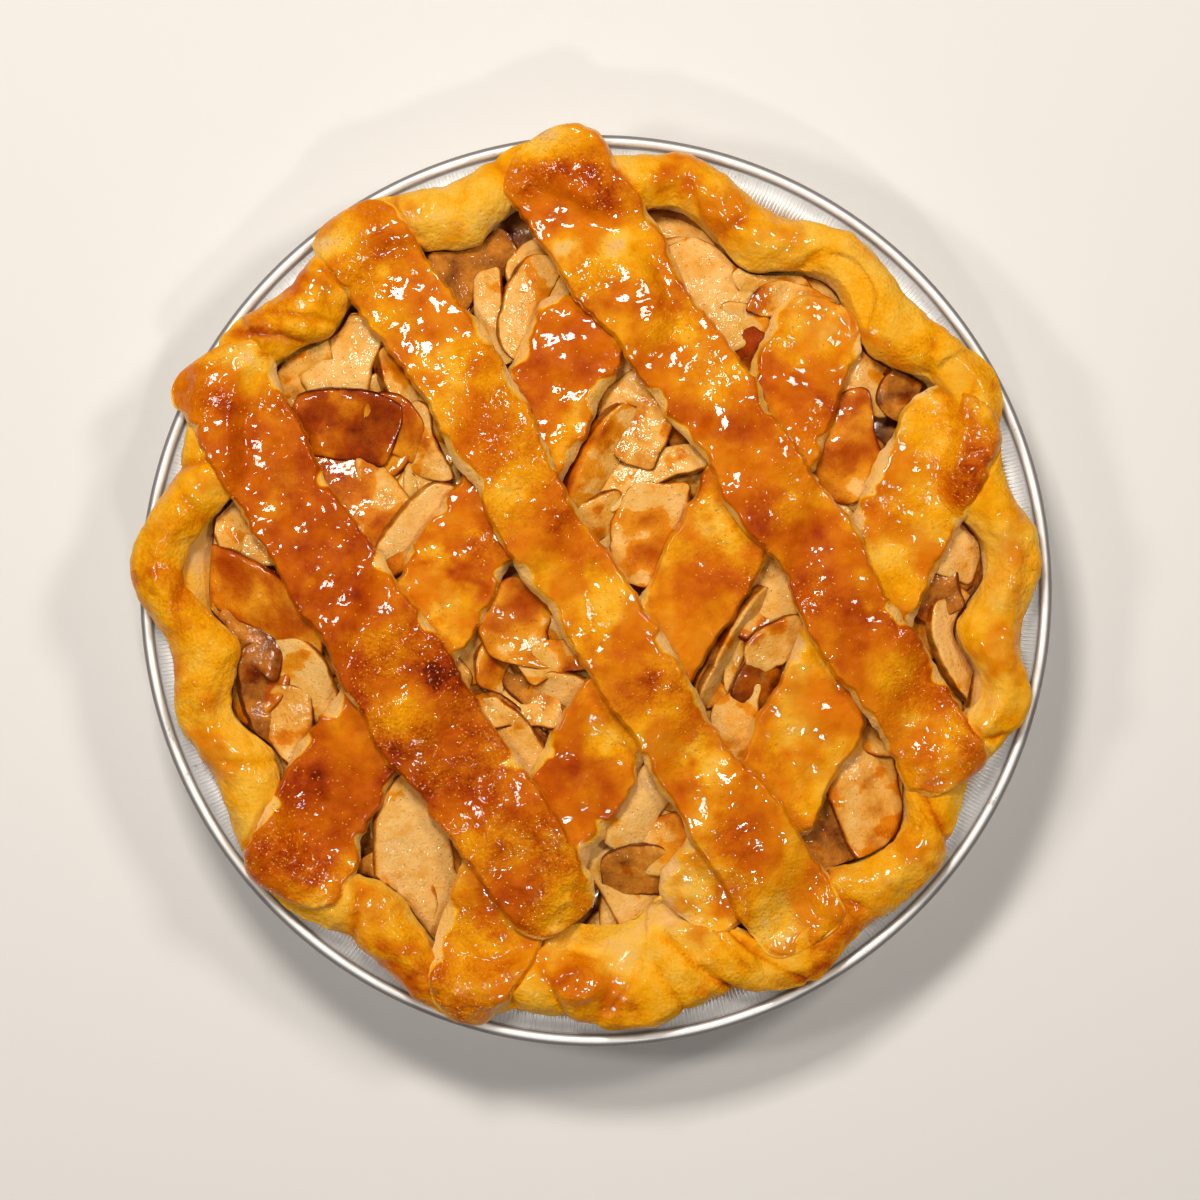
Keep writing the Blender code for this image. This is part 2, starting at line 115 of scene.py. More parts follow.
class Grain:
    """Seeded gradient noise over points in millimetres."""

    def __init__(self, seed: int) -> None:
        """Draw the lattice of gradients.

        Args:
            seed: Number that fixes the pattern.
        """
        rng = np.random.default_rng(seed)
        self._order = np.tile(rng.permutation(256), 2)
        vectors = rng.normal(size=(256, 3))
        self._gradients = vectors / np.linalg.norm(vectors, axis=1)[:, None]

    def wave(self, points: Array, size: float) -> Array:
        """One octave of noise, about -1 to 1.

        Args:
            points: Points, one a row.
            size: Typical distance between neighbouring bumps.

        Returns:
            One value for each point.
        """
        scaled = points / size
        cell = np.floor(scaled).astype(int)
        offset = scaled - cell
        blend = offset**3 * (offset * (offset * 6.0 - 15.0) + 10.0)
        total = np.zeros(len(points))
        for corner in np.ndindex(2, 2, 2):
            index = (cell + corner) & 255
            key = self._order[self._order[self._order[index[:, 0]] + index[:, 1]] + index[:, 2]]
            weight = np.prod(np.where(corner, blend, 1.0 - blend), axis=1)
            total += weight * np.einsum("ij,ij->i", self._gradients[key], offset - corner)
        return total * 1.6

    def layers(self, points: Array, size: float, octaves: int = 3, gain: float = 0.5) -> Array:
        """Sum of octaves, each half as large and weaker by gain.

        Args:
            points: Points, one a row.
            size: Size of the largest bumps.
            octaves: Number of layers.
            gain: Strength of each layer against the one before.

        Returns:
            One value for each point.
        """
        total = np.zeros(len(points))
        for octave in range(octaves):
            total += gain**octave * self.wave(points + 17.3 * octave, size / 2**octave)
        return total


@dataclass
class PieShape:
    """Outlines and heights that the crust, the strips and the filling share."""

    dome_centre: float = 40.0
    dome_edge: float = 33.0
    dome_radius: float = 100.0
    dome_power: float = 2.4
    rim_top: float = 42.6
    rim_waist: float = 36.5
    rim_width_at_crest: float = 14.5
    rim_width_at_hollow: float = 17.5
    rim_press: float = 2.6
    fold_bearing: float = 279.0
    fold_spread: float = 10.0
    fold_width: float = 9.0
    shelf_bearing: float = 276.0
    shelf_spread: float = 15.0
    shelf_width: float = 7.5
    seat: float = 0.45

    def __post_init__(self) -> None:
        """Work out the turning points of the rim's outline."""
        bearings: list[float] = []
        outer: list[float] = []
        width: list[float] = []
        top: list[float] = []
        for index, crimp in enumerate(CRIMPS):
            bearings += [crimp.crest_bearing, crimp.hollow_bearing]
            outer += [crimp.crest_radius, crimp.hollow_radius]
            width += [self.rim_width_at_crest, self.rim_width_at_hollow]
            top += [self.rim_top - 0.8 + 0.5 * math.sin(2.1 * index), self.rim_top]
        self._bearings = np.array([bearings[-1] - 360.0, *bearings, bearings[0] + 360.0])
        self._tables = {
            name: np.array([values[-1], *values, values[0]])
            for name, values in (("outer", outer), ("width", width), ("top", top))
        }

    def _swing(self, name: str, bearing: Array) -> Array:
        """Value of a table at a bearing, swinging smoothly between crests and hollows.

        Args:
            name: Name of the table.
            bearing: Bearings in degrees.

        Returns:
            One value for each bearing.
        """
        turn = np.mod(np.asarray(bearing, float), 360.0)
        index = np.clip(np.searchsorted(self._bearings, turn, side="right") - 1, 0, len(self._bearings) - 2)
        start = self._bearings[index]
        share = ease((turn - start) / (self._bearings[index + 1] - start))
        values = self._tables[name]
        return values[index] * (1.0 - share) + values[index + 1] * share

    def rim_outer(self, bearing: Array) -> Array:
        """Radius of the rim's outer edge."""
        return self._swing("outer", bearing)

    def rim_inner(self, bearing: Array) -> Array:
        """Radius of the rim's inner edge, with the pastry folded further in at the bottom of the photo.

        Args:
            bearing: Bearings in degrees.

        Returns:
            One radius for each bearing.
        """
        from_fold = np.mod(np.asarray(bearing, float) - self.fold_bearing + 180.0, 360.0) - 180.0
        fold = self.fold_width * np.exp(-((from_fold / self.fold_spread) ** 2))
        return self.rim_outer(bearing) - self._swing("width", bearing) - fold

    def rim_height(self, bearing: Array) -> Array:
        """Height of the rim's ridge."""
        return self._swing("top", bearing)

    def shelf(self, bearing: Array) -> Array:
        """Width of the low shelf of pastry that runs on inwards from the fold."""
        from_shelf = np.mod(np.asarray(bearing, float) - self.shelf_bearing + 180.0, 360.0) - 180.0
        return self.shelf_width * np.exp(-((from_shelf / self.shelf_spread) ** 4))

    def dome(self, x: Array, y: Array) -> Array:
        """Mean height of the filling's top."""
        share = np.clip(np.hypot(x, y) / self.dome_radius, 0.0, 1.15)
        return self.dome_centre - (self.dome_centre - self.dome_edge) * share**self.dome_power

    def rim_surface(self, x: Array, y: Array) -> Array:
        """Height of the rim's upper side, or a low value away from the rim.

        Args:
            x: Places along X.
            y: Places along Y.

        Returns:
            One height for each place.
        """
        radius = np.hypot(x, y)
        bearing = np.degrees(np.arctan2(y, x))
        top = self.rim_height(bearing)
        climb = ease((radius - self.rim_inner(bearing) + 2.0) / 5.0)
        drop = ease((radius - self.rim_outer(bearing) + 5.0) / 9.0)
        return self.dome_edge + (top - self.dome_edge) * climb - (top - self.rim_waist) * drop

    def on_rim(self, x: Array, y: Array) -> Array:
        """Share from 0 over the apple to 1 over the rim."""
        return ease((np.hypot(x, y) - self.rim_inner(np.degrees(np.arctan2(y, x))) + 5.0) / 9.0)


class Layer(Enum):
    """Which way a strip runs, and so whether it lies under or over the others."""

    CROSS = "cross"
    LONG = "long"

    @property
    def slot(self) -> str:
        """Material slot of the record for the strips of this layer."""
        return self.value + "_strip_pastry"


@dataclass(frozen=True)
class Baked:
    """A patch of pastry that came out different: its place and radius, and what it adds to the marks."""

    x: float
    y: float
    radius: float
    bake: float
    rough: float = 0.0
    glaze: float = 0.0

    def spread(self, x: Array, y: Array) -> Array:
        """Strength of the patch at places, 1 in its middle."""
        return np.exp(-(((x - self.x) ** 2 + (y - self.y) ** 2) / self.radius**2))


def add_patches(marks: dict[str, Array], patches: Sequence[Baked], spots: Array, grain: Grain) -> None:
    """Add baked patches with broken outlines to the marks of points.

    Args:
        marks: The marks, which are changed.
        patches: The patches.
        spots: Points, one a row.
        grain: Noise that breaks the outlines.
    """
    broken = np.clip(0.8 + 0.7 * grain.layers(spots + 9.0, 5.0, 3), 0.0, 1.6)
    for patch in patches:
        near = patch.spread(spots[:, 0], spots[:, 1]) * broken
        marks["bake"] += patch.bake * near
        marks["rough"] += patch.rough * near
        marks["glaze"] += patch.glaze * near


@dataclass(frozen=True)
class StripPlan:
    """Where one pastry strip runs, how brown and glazed it is, and how far its two ends melt into the rim."""

    node: str
    layer: Layer
    route: tuple[tuple[float, float, float], ...]
    browning: float
    glazing: float
    melt: tuple[float, float]
    seed: int
    patches: tuple[Baked, ...] = ()


STRIPS = (
    StripPlan(
        "strip_cross_left",
        Layer.CROSS,
        (
            (-84, -82, 30), (-73, -58, 28), (-60, -35, 26), (-39, 4, 25), (-27, 21, 25), (-15, 46, 26),
            (0, 76, 26),
        ),
        0.56,
        0.95,
        (0.45, 0.0),
        11,
        table(
            Baked,
            (-84, -72, 8, 0.18, 0.8), (-76, -78, 6, 0.18, 0.9), (-80, -66, 9, 0.08, 0.3),
            (-68, -78, 6, 0.2, 0.3), (-77, -84, 5, -0.25, 0.3, -0.4), (-72, -52, 16, 0.12, 0.0, 0.3),
            (-48, 2, 12, -0.36, 0.1, -0.5), (-36, 14, 8, -0.12, 0.1, -0.3), (-33, 4, 6, -0.1, 0.0, -0.3),
            (-38, -12, 8, -0.14, 0.0, -0.2), (-16, 52, 12, 0.05, 0.0, 0.3), (-13, 36, 8, -0.16, 0.0, -0.4),
            (-5, 48, 7, -0.3, 0.1, -0.6),
        ),
    ),
    StripPlan(
        "strip_cross_middle",
        Layer.CROSS,
        (
            (-35, -116, 17), (-31, -97, 27), (-20, -76, 26), (-5, -53, 26), (9, -28, 24), (22, -7, 25),
            (34, 14, 25), (50, 46, 26), (62, 78, 25),
        ),
        0.46,
        0.75,
        (0.8, 1.0),
        12,
        table(
            Baked,
            (-36, -104, 12, 0.14, 1.1, -0.3), (-38, -116, 5, 0.35, 0.6), (-24, -84, 8, -0.18, 0.2, -0.5),
            (-28, -92, 6, -0.14, 0.2, -0.3), (-6, -50, 11, 0.02, 0.0, 0.3), (3, -40, 6, -0.2, 0.1, -0.5),
            (26, 2, 8, 0.08, 0.0, 0.3), (35, 14, 8, -0.14, 0.4, -0.2), (30, 20, 7, -0.18, 0.3, -0.4),
            (18, -14, 6, -0.14, 0.1, -0.4), (52, 54, 12, 0.06, 0.0, 0.4), (34, -2, 10, 0.02, 0.0, 0.1),
            (44, 44, 6, -0.15, 0.0, -0.5), (62, 76, 10, -0.2, 0.2, -0.3),
        ),
    ),
    StripPlan(
        "strip_cross_right",
        Layer.CROSS,
        (
            (24, -88, 22), (38, -68, 25), (51, -50, 25), (58, -34, 26), (74, 0, 26), (83, 20, 27),
            (94, 40, 28), (101, 52, 25),
        ),
        0.40,
        0.62,
        (0.3, 0.9),
        13,
        table(
            Baked,
            (102, 36, 9, 0.3, 0.9), (97, 26, 5, 0.22, 0.8), (98, 50, 7, 0.16, 0.6),
            (92, 40, 8, -0.2, 0.2, -0.4), (62, -30, 12, -0.06, 0.0, 0.4), (54, -38, 7, -0.16, 0.0, -0.2),
            (80, 20, 8, 0.06, 0.2, 0.3), (78, 8, 7, -0.2, 0.1, -0.5), (66, -20, 8, -0.16, 0.1, -0.3),
            (22, -86, 12, -0.34, 0.1, -0.4),
        ),
    ),
    StripPlan(
        "strip_long_left",
        Layer.LONG,
        (
            (-105, 63, 29), (-96, 48, 27), (-84, 27, 25), (-72, 7, 26), (-59, -12, 28), (-45, -35, 29),
            (-30, -55, 28), (-15, -77, 26), (-6, -89, 22),
        ),
        0.58,
        0.9,
        (1.0, 0.8),
        21,
        table(
            Baked,
            (-96, 36, 10, 0.08, 0.0, 0.3), (-70, 5, 13, 0.1, 0.0, 0.4), (-104, 52, 7, 0.14, 0.7),
            (-92, 62, 7, -0.3, 0.2, -0.6), (-106, 64, 7, -0.12, 0.3, -0.4), (-84, 18, 8, -0.12, 0.0, -0.3),
            (-52, 0, 8, -0.12, 0.0, -0.2), (-44, -19, 6, 0.22, 1.0), (-38, -24, 6, 0.16, 0.9),
            (-55, -18, 7, 0.0, 1.0, -0.9), (-62, -30, 6, 0.1, 0.6), (-57, -42, 6, 0.22, 0.6),
            (-50, -36, 7, 0.06, 0.8, -0.7), (-30, -42, 9, 0.08, 0.9), (-42, -52, 7, 0.16, 0.8),
            (-26, -62, 8, -0.1, 0.6, -0.3), (-12, -68, 9, 0.0, 0.8, -0.4), (-8, -82, 9, -0.04, 1.1, -0.8),
            (-18, -90, 5, 0.12, 0.8),
        ),
    ),
    StripPlan(
        "strip_long_middle",
        Layer.LONG,
        (
            (-67, 102, 26), (-59, 88, 25), (-38, 60, 24), (-26, 38, 23), (-14, 16, 23), (0, -5, 22),
            (12, -24, 22), (26, -46, 22), (38, -63, 24), (50, -82, 27), (57, -95, 29),
        ),
        0.46,
        0.68,
        (1.0, 1.0),
        22,
        table(
            Baked,
            (-58, 86, 8, 0.14, 0.4, 0.3), (-70, 92, 6, -0.3, 0.1, -0.6), (-62, 98, 7, 0.12, 0.5),
            (-44, 72, 9, 0.1, 0.0, 0.3), (-36, 58, 8, -0.12, 0.3, -0.2), (-28, 43, 8, 0.14, 1.0),
            (-18, 34, 8, 0.1, 1.0, -0.2), (-22, 24, 7, -0.14, 0.6, -0.4), (-9, 20, 6, 0.14, 0.6),
            (-2, 6, 6, 0.1, 0.1, 0.5), (0, -4, 6, -0.26, 0.1, -0.7), (10, -16, 8, -0.05, 0.0, 0.2),
            (16, -24, 7, 0.14, 0.7), (28, -45, 6, -0.3, 0.3, -0.7), (24, -36, 6, 0.12, 0.5),
            (38, -62, 9, 0.15, 0.0, 0.4), (48, -80, 9, -0.1, 0.2, 0.1), (46, -90, 7, -0.3, 0.2, -0.6),
            (62, -97, 7, 0.2, 0.9),
        ),
    ),
    StripPlan(
        "strip_long_right",
        Layer.LONG,
        (
            (-17, 121, 26), (-7, 107, 30), (5, 88, 28), (16, 72, 25), (28, 56, 25), (39, 40, 24),
            (48, 25, 23), (60, 10, 23), (67, -5, 24), (78, -22, 24), (87, -35, 23), (97, -52, 25),
        ),
        0.52,
        0.8,
        (1.0, 0.4),
        23,
        table(
            Baked,
            (-16, 122, 8, -0.2, 0.8, -0.9), (-10, 114, 5, 0.2, 1.0), (-18, 111, 5, 0.18, 0.9),
            (-2, 112, 4, 0.3, 1.0), (2, 106, 5, 0.3, 1.0), (-8, 101, 9, 0.1, 0.0, 0.5),
            (-8, 92, 4, -0.4, 0.2, -0.8), (12, 78, 13, -0.12, 0.0, -0.2), (6, 92, 5, -0.34, 0.1, -0.8),
            (-2, 84, 6, -0.14, 0.4, -0.3), (12, 80, 8, 0.06, 0.0, 0.4), (22, 70, 7, -0.12, 0.4, -0.3),
            (30, 60, 8, -0.06, 0.5), (44, 30, 9, 0.0, 0.3, 0.3), (58, 12, 9, 0.14, 0.0, 0.3),
            (50, 20, 5, -0.12, 0.2, -0.2), (70, -6, 10, 0.06, 0.0, 0.3), (79, -8, 5, 0.22, 0.3),
            (94, -26, 6, 0.16, 1.0), (86, -32, 6, -0.22, 0.5, -0.3), (101, -38, 6, 0.22, 1.0),
            (92, -44, 7, -0.1, 0.5), (98, -56, 6, -0.3, 0.2, -0.6),
        ),
    ),
)


@dataclass
class Lattice:
    """Heights of the strips over the filling and over each other."""

    shape: PieShape
    strip_thickness: float = 4.4
    end_thinning: float = 0.28
    crossing_ease: float = 9.0
    span_lift: float = 1.6
    crossing_clearance: float = 0.6

    def smooth_route(self, plan: StripPlan, spacing: float) -> Array:
        """Even points along a smooth curve through a strip's route.

        Args:
            plan: The strip.
            spacing: Distance between points.

        Returns:
            Rows of x, y and width.
        """
        knots = np.array(plan.route, float)
        knots = np.vstack([2 * knots[0] - knots[1], knots, 2 * knots[-1] - knots[-2]])
        dense = []
        for i in range(1, len(knots) - 2):
            for share in np.linspace(0.0, 1.0, 24, endpoint=False):
                dense.append(curve_point(*knots[i - 1 : i + 3], share))
        dense.append(knots[-2])
        line = np.array(dense)
        lengths = np.r_[0.0, np.cumsum(np.hypot(*np.diff(line[:, :2], axis=0).T))]
        count = max(2, round(lengths[-1] / spacing))
        stops = np.linspace(0.0, lengths[-1], count + 1)
        return np.column_stack([np.interp(stops, lengths, line[:, k]) for k in range(3)])

    def outside(self, plan: StripPlan, x: Array, y: Array) -> Array:
        """Distance of points outside a strip's side edges; it is negative inside.

        Args:
            plan: The strip.
            x: Places along X.
            y: Places along Y.

        Returns:
            One distance for each place.
        """
        line = self.smooth_route(plan, 2.0)
        apart = np.hypot(x[:, None] - line[:, 0], y[:, None] - line[:, 1])
        nearest = apart.argmin(axis=1)
        return apart[np.arange(len(x)), nearest] - 0.5 * line[nearest, 2]

    def cross_rest(self, x: Array, y: Array) -> Array:
        """Height of a cross strip's underside."""
        rim = self.shape.rim_surface(x, y) - self.shape.rim_press
        return np.maximum(self.shape.dome(x, y), rim) + self.shape.seat

    def long_rest(self, x: Array, y: Array) -> Array:
        """Height of a long strip's underside.

        Args:
            x: Places along X.
            y: Places along Y.

        Returns:
            One height for each place.
        """
        lift = self.span_lift * (1.0 - self.shape.on_rim(x, y))
        for plan in STRIPS:
            if plan.layer is Layer.CROSS:
                reach = self.crossing_ease
                near = ease((reach - self.outside(plan, x, y)) / (reach - 1.5))
                lift = np.maximum(lift, (self.strip_thickness + self.crossing_clearance) * near)
        return self.cross_rest(x, y) + lift

    def rest(self, plan: StripPlan, x: Array, y: Array) -> Array:
        """Height of a strip's underside."""
        return self.long_rest(x, y) if plan.layer is Layer.LONG else self.cross_rest(x, y)

    def thickness(self, x: Array, y: Array) -> Array:
        """Thickness of a strip, which thins where it is pressed into the rim."""
        return self.strip_thickness * (1.0 - self.end_thinning * self.shape.on_rim(x, y))

    def ceiling(self, x: Array, y: Array, slack: float = 0.15, slope: float = 1.1) -> Array:
        """Greatest height that keeps a point of the filling or the rim below the strips.

        Args:
            x: Places along X.
            y: Places along Y.
            slack: Clearance kept under a strip.
            slope: How fast the limit rises outside a strip's edge.

        Returns:
            One height for each place.
        """
        limit = np.full(len(x), 99.0)
        for plan in STRIPS:
            away = self.outside(plan, x, y)
            near = np.nonzero(away < 8.0)[0]
            rest = self.rest(plan, x[near], y[near])
            limit[near] = np.minimum(limit[near], rest - slack + slope * np.maximum(away[near] + 0.6, 0.0))
        return limit


# Meshes


def close_grid(rows: int, columns: int, first: int) -> list[tuple[int, ...]]:
    """Quads between neighbouring rows of points, each row a closed loop.

    Args:
        rows: Number of rows.
        columns: Points in a row.
        first: Index of the first point.

    Returns:
        Faces as tuples of point indices.
    """
    row = np.arange(rows - 1)[:, None] * columns + first
    column = np.arange(columns)[None, :]
    after = (column + 1) % columns
    quads = np.stack([row + column, row + after, row + columns + after, row + columns + column], axis=-1)
    return [tuple(quad) for quad in quads.reshape(-1, 4).tolist()]


def outward_normals(grid: Array) -> Array:
    """Normals of a grid of points whose second axis closes on itself.

    Args:
        grid: Points by row and column.

    Returns:
        Unit normals by row and column.
    """
    along = np.gradient(grid, axis=0)
    across = np.roll(grid, -1, axis=1) - np.roll(grid, 1, axis=1)
    normals = np.cross(along, across)
    return normals / np.maximum(np.linalg.norm(normals, axis=2, keepdims=True), 1e-9)


def turned(radius: Array, height: Array, turns: Array) -> Array:
    """Turn a section round the axis.

    Args:
        radius: Radius of each row, and of each angle where it changes.
        height: Height of each row, and of each angle where it changes.
        turns: Angles in radians.

    Returns:
        Points by row and angle.
    """
    grid = np.empty((len(radius), len(turns), 3))
    grid[..., 0] = radius * np.cos(turns)
    grid[..., 1] = radius * np.sin(turns)
    grid[..., 2] = height
    return grid


@dataclass
class MeshParts:
    """Points, faces and point attributes that grow into one mesh."""

    points: list[Array] = field(default_factory=list)
    faces: list[tuple[int, ...]] = field(default_factory=list)
    marks: dict[str, list[Array]] = field(default_factory=dict)
    count: int = 0

    def add_tube(self, grid: Array, marks: dict[str, Array]) -> None:
        """Add a closed tube: rows of loops with both ends drawn to a point.

        Args:
            grid: Points by row and column.
            marks: Attribute values, one for each point.
        """
        rows, columns, _ = grid.shape
        start = self.count
        ends = np.array([grid[0].mean(axis=0), grid[-1].mean(axis=0)])
        self.points += [grid.reshape(-1, 3), ends]
        self.faces += close_grid(rows, columns, start)
        head = start + rows * columns
        last = start + (rows - 1) * columns
        for column in range(columns):
            after = (column + 1) % columns
            self.faces.append((head, start + after, start + column))
            self.faces.append((head + 1, last + column, last + after))
        for name, values in marks.items():
            by_row = values.reshape(rows, columns)
            tips = np.array([by_row[0].mean(), by_row[-1].mean()])
            self.marks.setdefault(name, []).extend([values.reshape(-1), tips])
        self.count += rows * columns + 2

    def build(self, name: str, material: bpy.types.Material) -> bpy.types.Object:
        """Make the object, smooth, with its faces turned outwards.

        Args:
            name: Name of the piece.
            material: Its finish.

        Returns:
            The new object.
        """
        mesh = bpy.data.meshes.new(name)
        mesh.from_pydata((np.concatenate(self.points) * MM).tolist(), [], self.faces)
        for mark, values in self.marks.items():
            attribute = mesh.attributes.new(mark, "FLOAT", "POINT")
            attribute.data.foreach_set("value", np.concatenate(values).astype(np.float32))
        work = bmesh.new()
        work.from_mesh(mesh)
        bmesh.ops.recalc_face_normals(work, faces=work.faces)
        work.to_mesh(mesh)
        work.free()
        mesh.shade_smooth()
        mesh.materials.append(material)
        piece = bpy.data.objects.new(name, mesh)
        bpy.context.scene.collection.objects.link(piece)
        return piece


def place(piece: bpy.types.Object, slot: str, *nodes: str) -> None:
    """Put a piece on the pie's body, in place of the nodes that it stands for.

    Args:
        piece: The finished piece.
        slot: Material slot of the record; not used.
        nodes: Nodes that the piece replaces.
    """
    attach(piece, BODY)
    if nodes:
        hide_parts(*nodes)
    log.info("%s: %d faces", piece.name, len(piece.data.polygons))


# Node trees


def linear(red: int, green: int, blue: int) -> tuple[float, float, float, float]:
    """Linear colour of a screen colour from 0 to 255."""
    shares = [value / 255.0 for value in (red, green, blue)]
    return (*(s / 12.92 if s <= 0.04045 else ((s + 0.055) / 1.055) ** 2.4 for s in shares), 1.0)


class NodeSheet:
    """Small helper that adds, sets and links the nodes of one tree."""

    def __init__(self, tree: bpy.types.NodeTree) -> None:
        """Work on a tree.

        Args:
            tree: The node tree.
        """
        self.tree = tree

    def node(self, kind: str, **settings: object) -> bpy.types.Node:
        """Add a node and set its properties.

        Args:
            kind: Type of the node.
            settings: Value of each property.

        Returns:
            The node.
        """
        made = self.tree.nodes.new(kind)
        for key, value in settings.items():
            setattr(made, key, value)
        return made

    def join(self, source: Socket, target: Socket) -> None:
        """Link two sockets."""
        self.tree.links.new(source, target)

    def feed(self, target: Socket, value: object) -> None:
        """Link a socket or a node's first output to a target, or set a plain value on it.

        Args:
            target: The input.
            value: Socket, node or plain value.
        """
        if isinstance(value, bpy.types.Node):
            value = value.outputs[0]
        if isinstance(value, bpy.types.NodeSocket):
            self.join(value, target)
        else:
            target.default_value = value

    def step(self, kind: str, **inputs: object) -> bpy.types.Node:
        """Add a node and feed its named inputs.

        Args:
            kind: Type of the node.
            inputs: Socket, node or plain value for each input.

        Returns:
            The node.
        """
        made = self.node(kind)
        for name, value in inputs.items():
            self.feed(made.inputs[name], value)
        return made

    def math(self, operation: str, first: object, second: object = 0.0, clamp: bool = False) -> Socket:
        """Result of one sum of two values or sockets.

        Args:
            operation: The sum.
            first: First value or socket.
            second: Second value or socket.
            clamp: Whether the result is held between 0 and 1.

        Returns:
            The result.
        """
        made = self.node("ShaderNodeMath", operation=operation, use_clamp=clamp)
        self.feed(made.inputs[0], first)
        self.feed(made.inputs[1], second)
        return made.outputs[0]

    def vector(self, x: object = 0.0, y: object = 0.0, z: object = 0.0) -> Socket:
        """Vector of three values or sockets."""
        return self.step("ShaderNodeCombineXYZ", X=x, Y=y, Z=z).outputs[0]


class Shading(NodeSheet):
    """Nodes of one material round a Principled shader."""

    def __init__(self, name: str) -> None:
        """Start a material.

        Args:
            name: Name of the material.
        """
        self.material = bpy.data.materials.new(name)
        self.material.use_nodes = True
        super().__init__(self.material.node_tree)
        self.shader = self.tree.nodes["Principled BSDF"]
        self.coordinates = self.node("ShaderNodeTexCoord").outputs["Object"]

    def show(self, name: str, value: Socket) -> None:
        """Link a socket to an input of the shader."""
        self.join(value, self.shader.inputs[name])

    def constant(self, **values: object) -> None:
        """Set plain values on the shader; an underscore in a name stands for a space."""
        for key, value in values.items():
            self.shader.inputs[key.replace("_", " ")].default_value = value

    def mark(self, name: str) -> Socket:
        """Value of a point attribute."""
        return self.node("ShaderNodeAttribute", attribute_name=name).outputs["Fac"]

    def noise(self, size: float, detail: float = 2.0, roughness: float = 0.55) -> Socket:
        """Noise over the object, with bumps of a size in millimetres.

        Args:
            size: Size of the bumps in millimetres.
            detail: Number of finer layers.
            roughness: Strength of the finer layers.

        Returns:
            Noise from 0 to 1.
        """
        made = self.node("ShaderNodeTexNoise")
        self.join(self.coordinates, made.inputs["Vector"])
        made.inputs["Scale"].default_value = 1.0 / (size * MM)
        made.inputs["Detail"].default_value = detail
        made.inputs["Roughness"].default_value = roughness
        return made.outputs["Fac"]

    def swing(self, size: float, detail: float, roughness: float) -> Socket:
        """Noise that swings round zero."""
        return self.math("SUBTRACT", self.noise(size, detail, roughness), 0.5)

    def plus(self, first: object, second: object, share: object = 1.0, clamp: bool = False) -> Socket:
        """Sum of a value and a share of another."""
        return self.math("ADD", first, self.math("MULTIPLY", second, share), clamp=clamp)

    def span(self, value: object, low: float, high: float, to_low: float, to_high: float) -> Socket:
        """Value moved smoothly from one range to another and held at its ends.

        Args:
            value: The value.
            low: Start of its range.
            high: End of its range.
            to_low: Result at the start.
            to_high: Result at the end.

        Returns:
            The result.
        """
        made = self.node("ShaderNodeMapRange", interpolation_type="SMOOTHSTEP")
        self.feed(made.inputs[0], value)
        for socket, number in zip(made.inputs[1:5], (low, high, to_low, to_high)):
            socket.default_value = number
        return made.outputs[0]

    def ramp(self, value: object, stops: Sequence[tuple[float, tuple]]) -> Socket:
        """Colour of a ramp at a value.

        Args:
            value: The value.
            stops: Position and colour of each stop.

        Returns:
            The colour.
        """
        made = self.node("ShaderNodeValToRGB")
        elements = made.color_ramp.elements
        while len(elements) < len(stops):
            elements.new(0.5)
        for element, (position, colour) in zip(elements, stops):
            element.position = position
            element.color = colour
        self.feed(made.inputs[0], value)
        return made.outputs[0]

    def mix(self, share: object, first: object, second: object, blend: str = "MIX") -> Socket:
        """Blend of two colours.

        Args:
            share: Share of the second colour.
            first: First colour.
            second: Second colour.
            blend: How they are blended.

        Returns:
            The colour.
        """
        made = self.node("ShaderNodeMix", data_type="RGBA", blend_type=blend)
        self.feed(made.inputs[0], share)
        self.feed(made.inputs[6], first)
        self.feed(made.inputs[7], second)
        return made.outputs[2]

    def bump(self, height: Socket, distance: float, strength: object = 1.0, normal: object = None) -> Socket:
        """Bump of a height in millimetres on top of another normal.

        Args:
            height: The height pattern.
            distance: Its full height in millimetres.
            strength: Share of the effect.
            normal: Normal that it is laid on.

        Returns:
            The normal.
        """
        made = self.node("ShaderNodeBump")
        made.inputs["Distance"].default_value = distance * MM
        self.feed(made.inputs["Strength"], strength)
        self.join(height, made.inputs["Height"])
        if normal is not None:
            self.join(normal, made.inputs["Normal"])
        return made.outputs["Normal"]


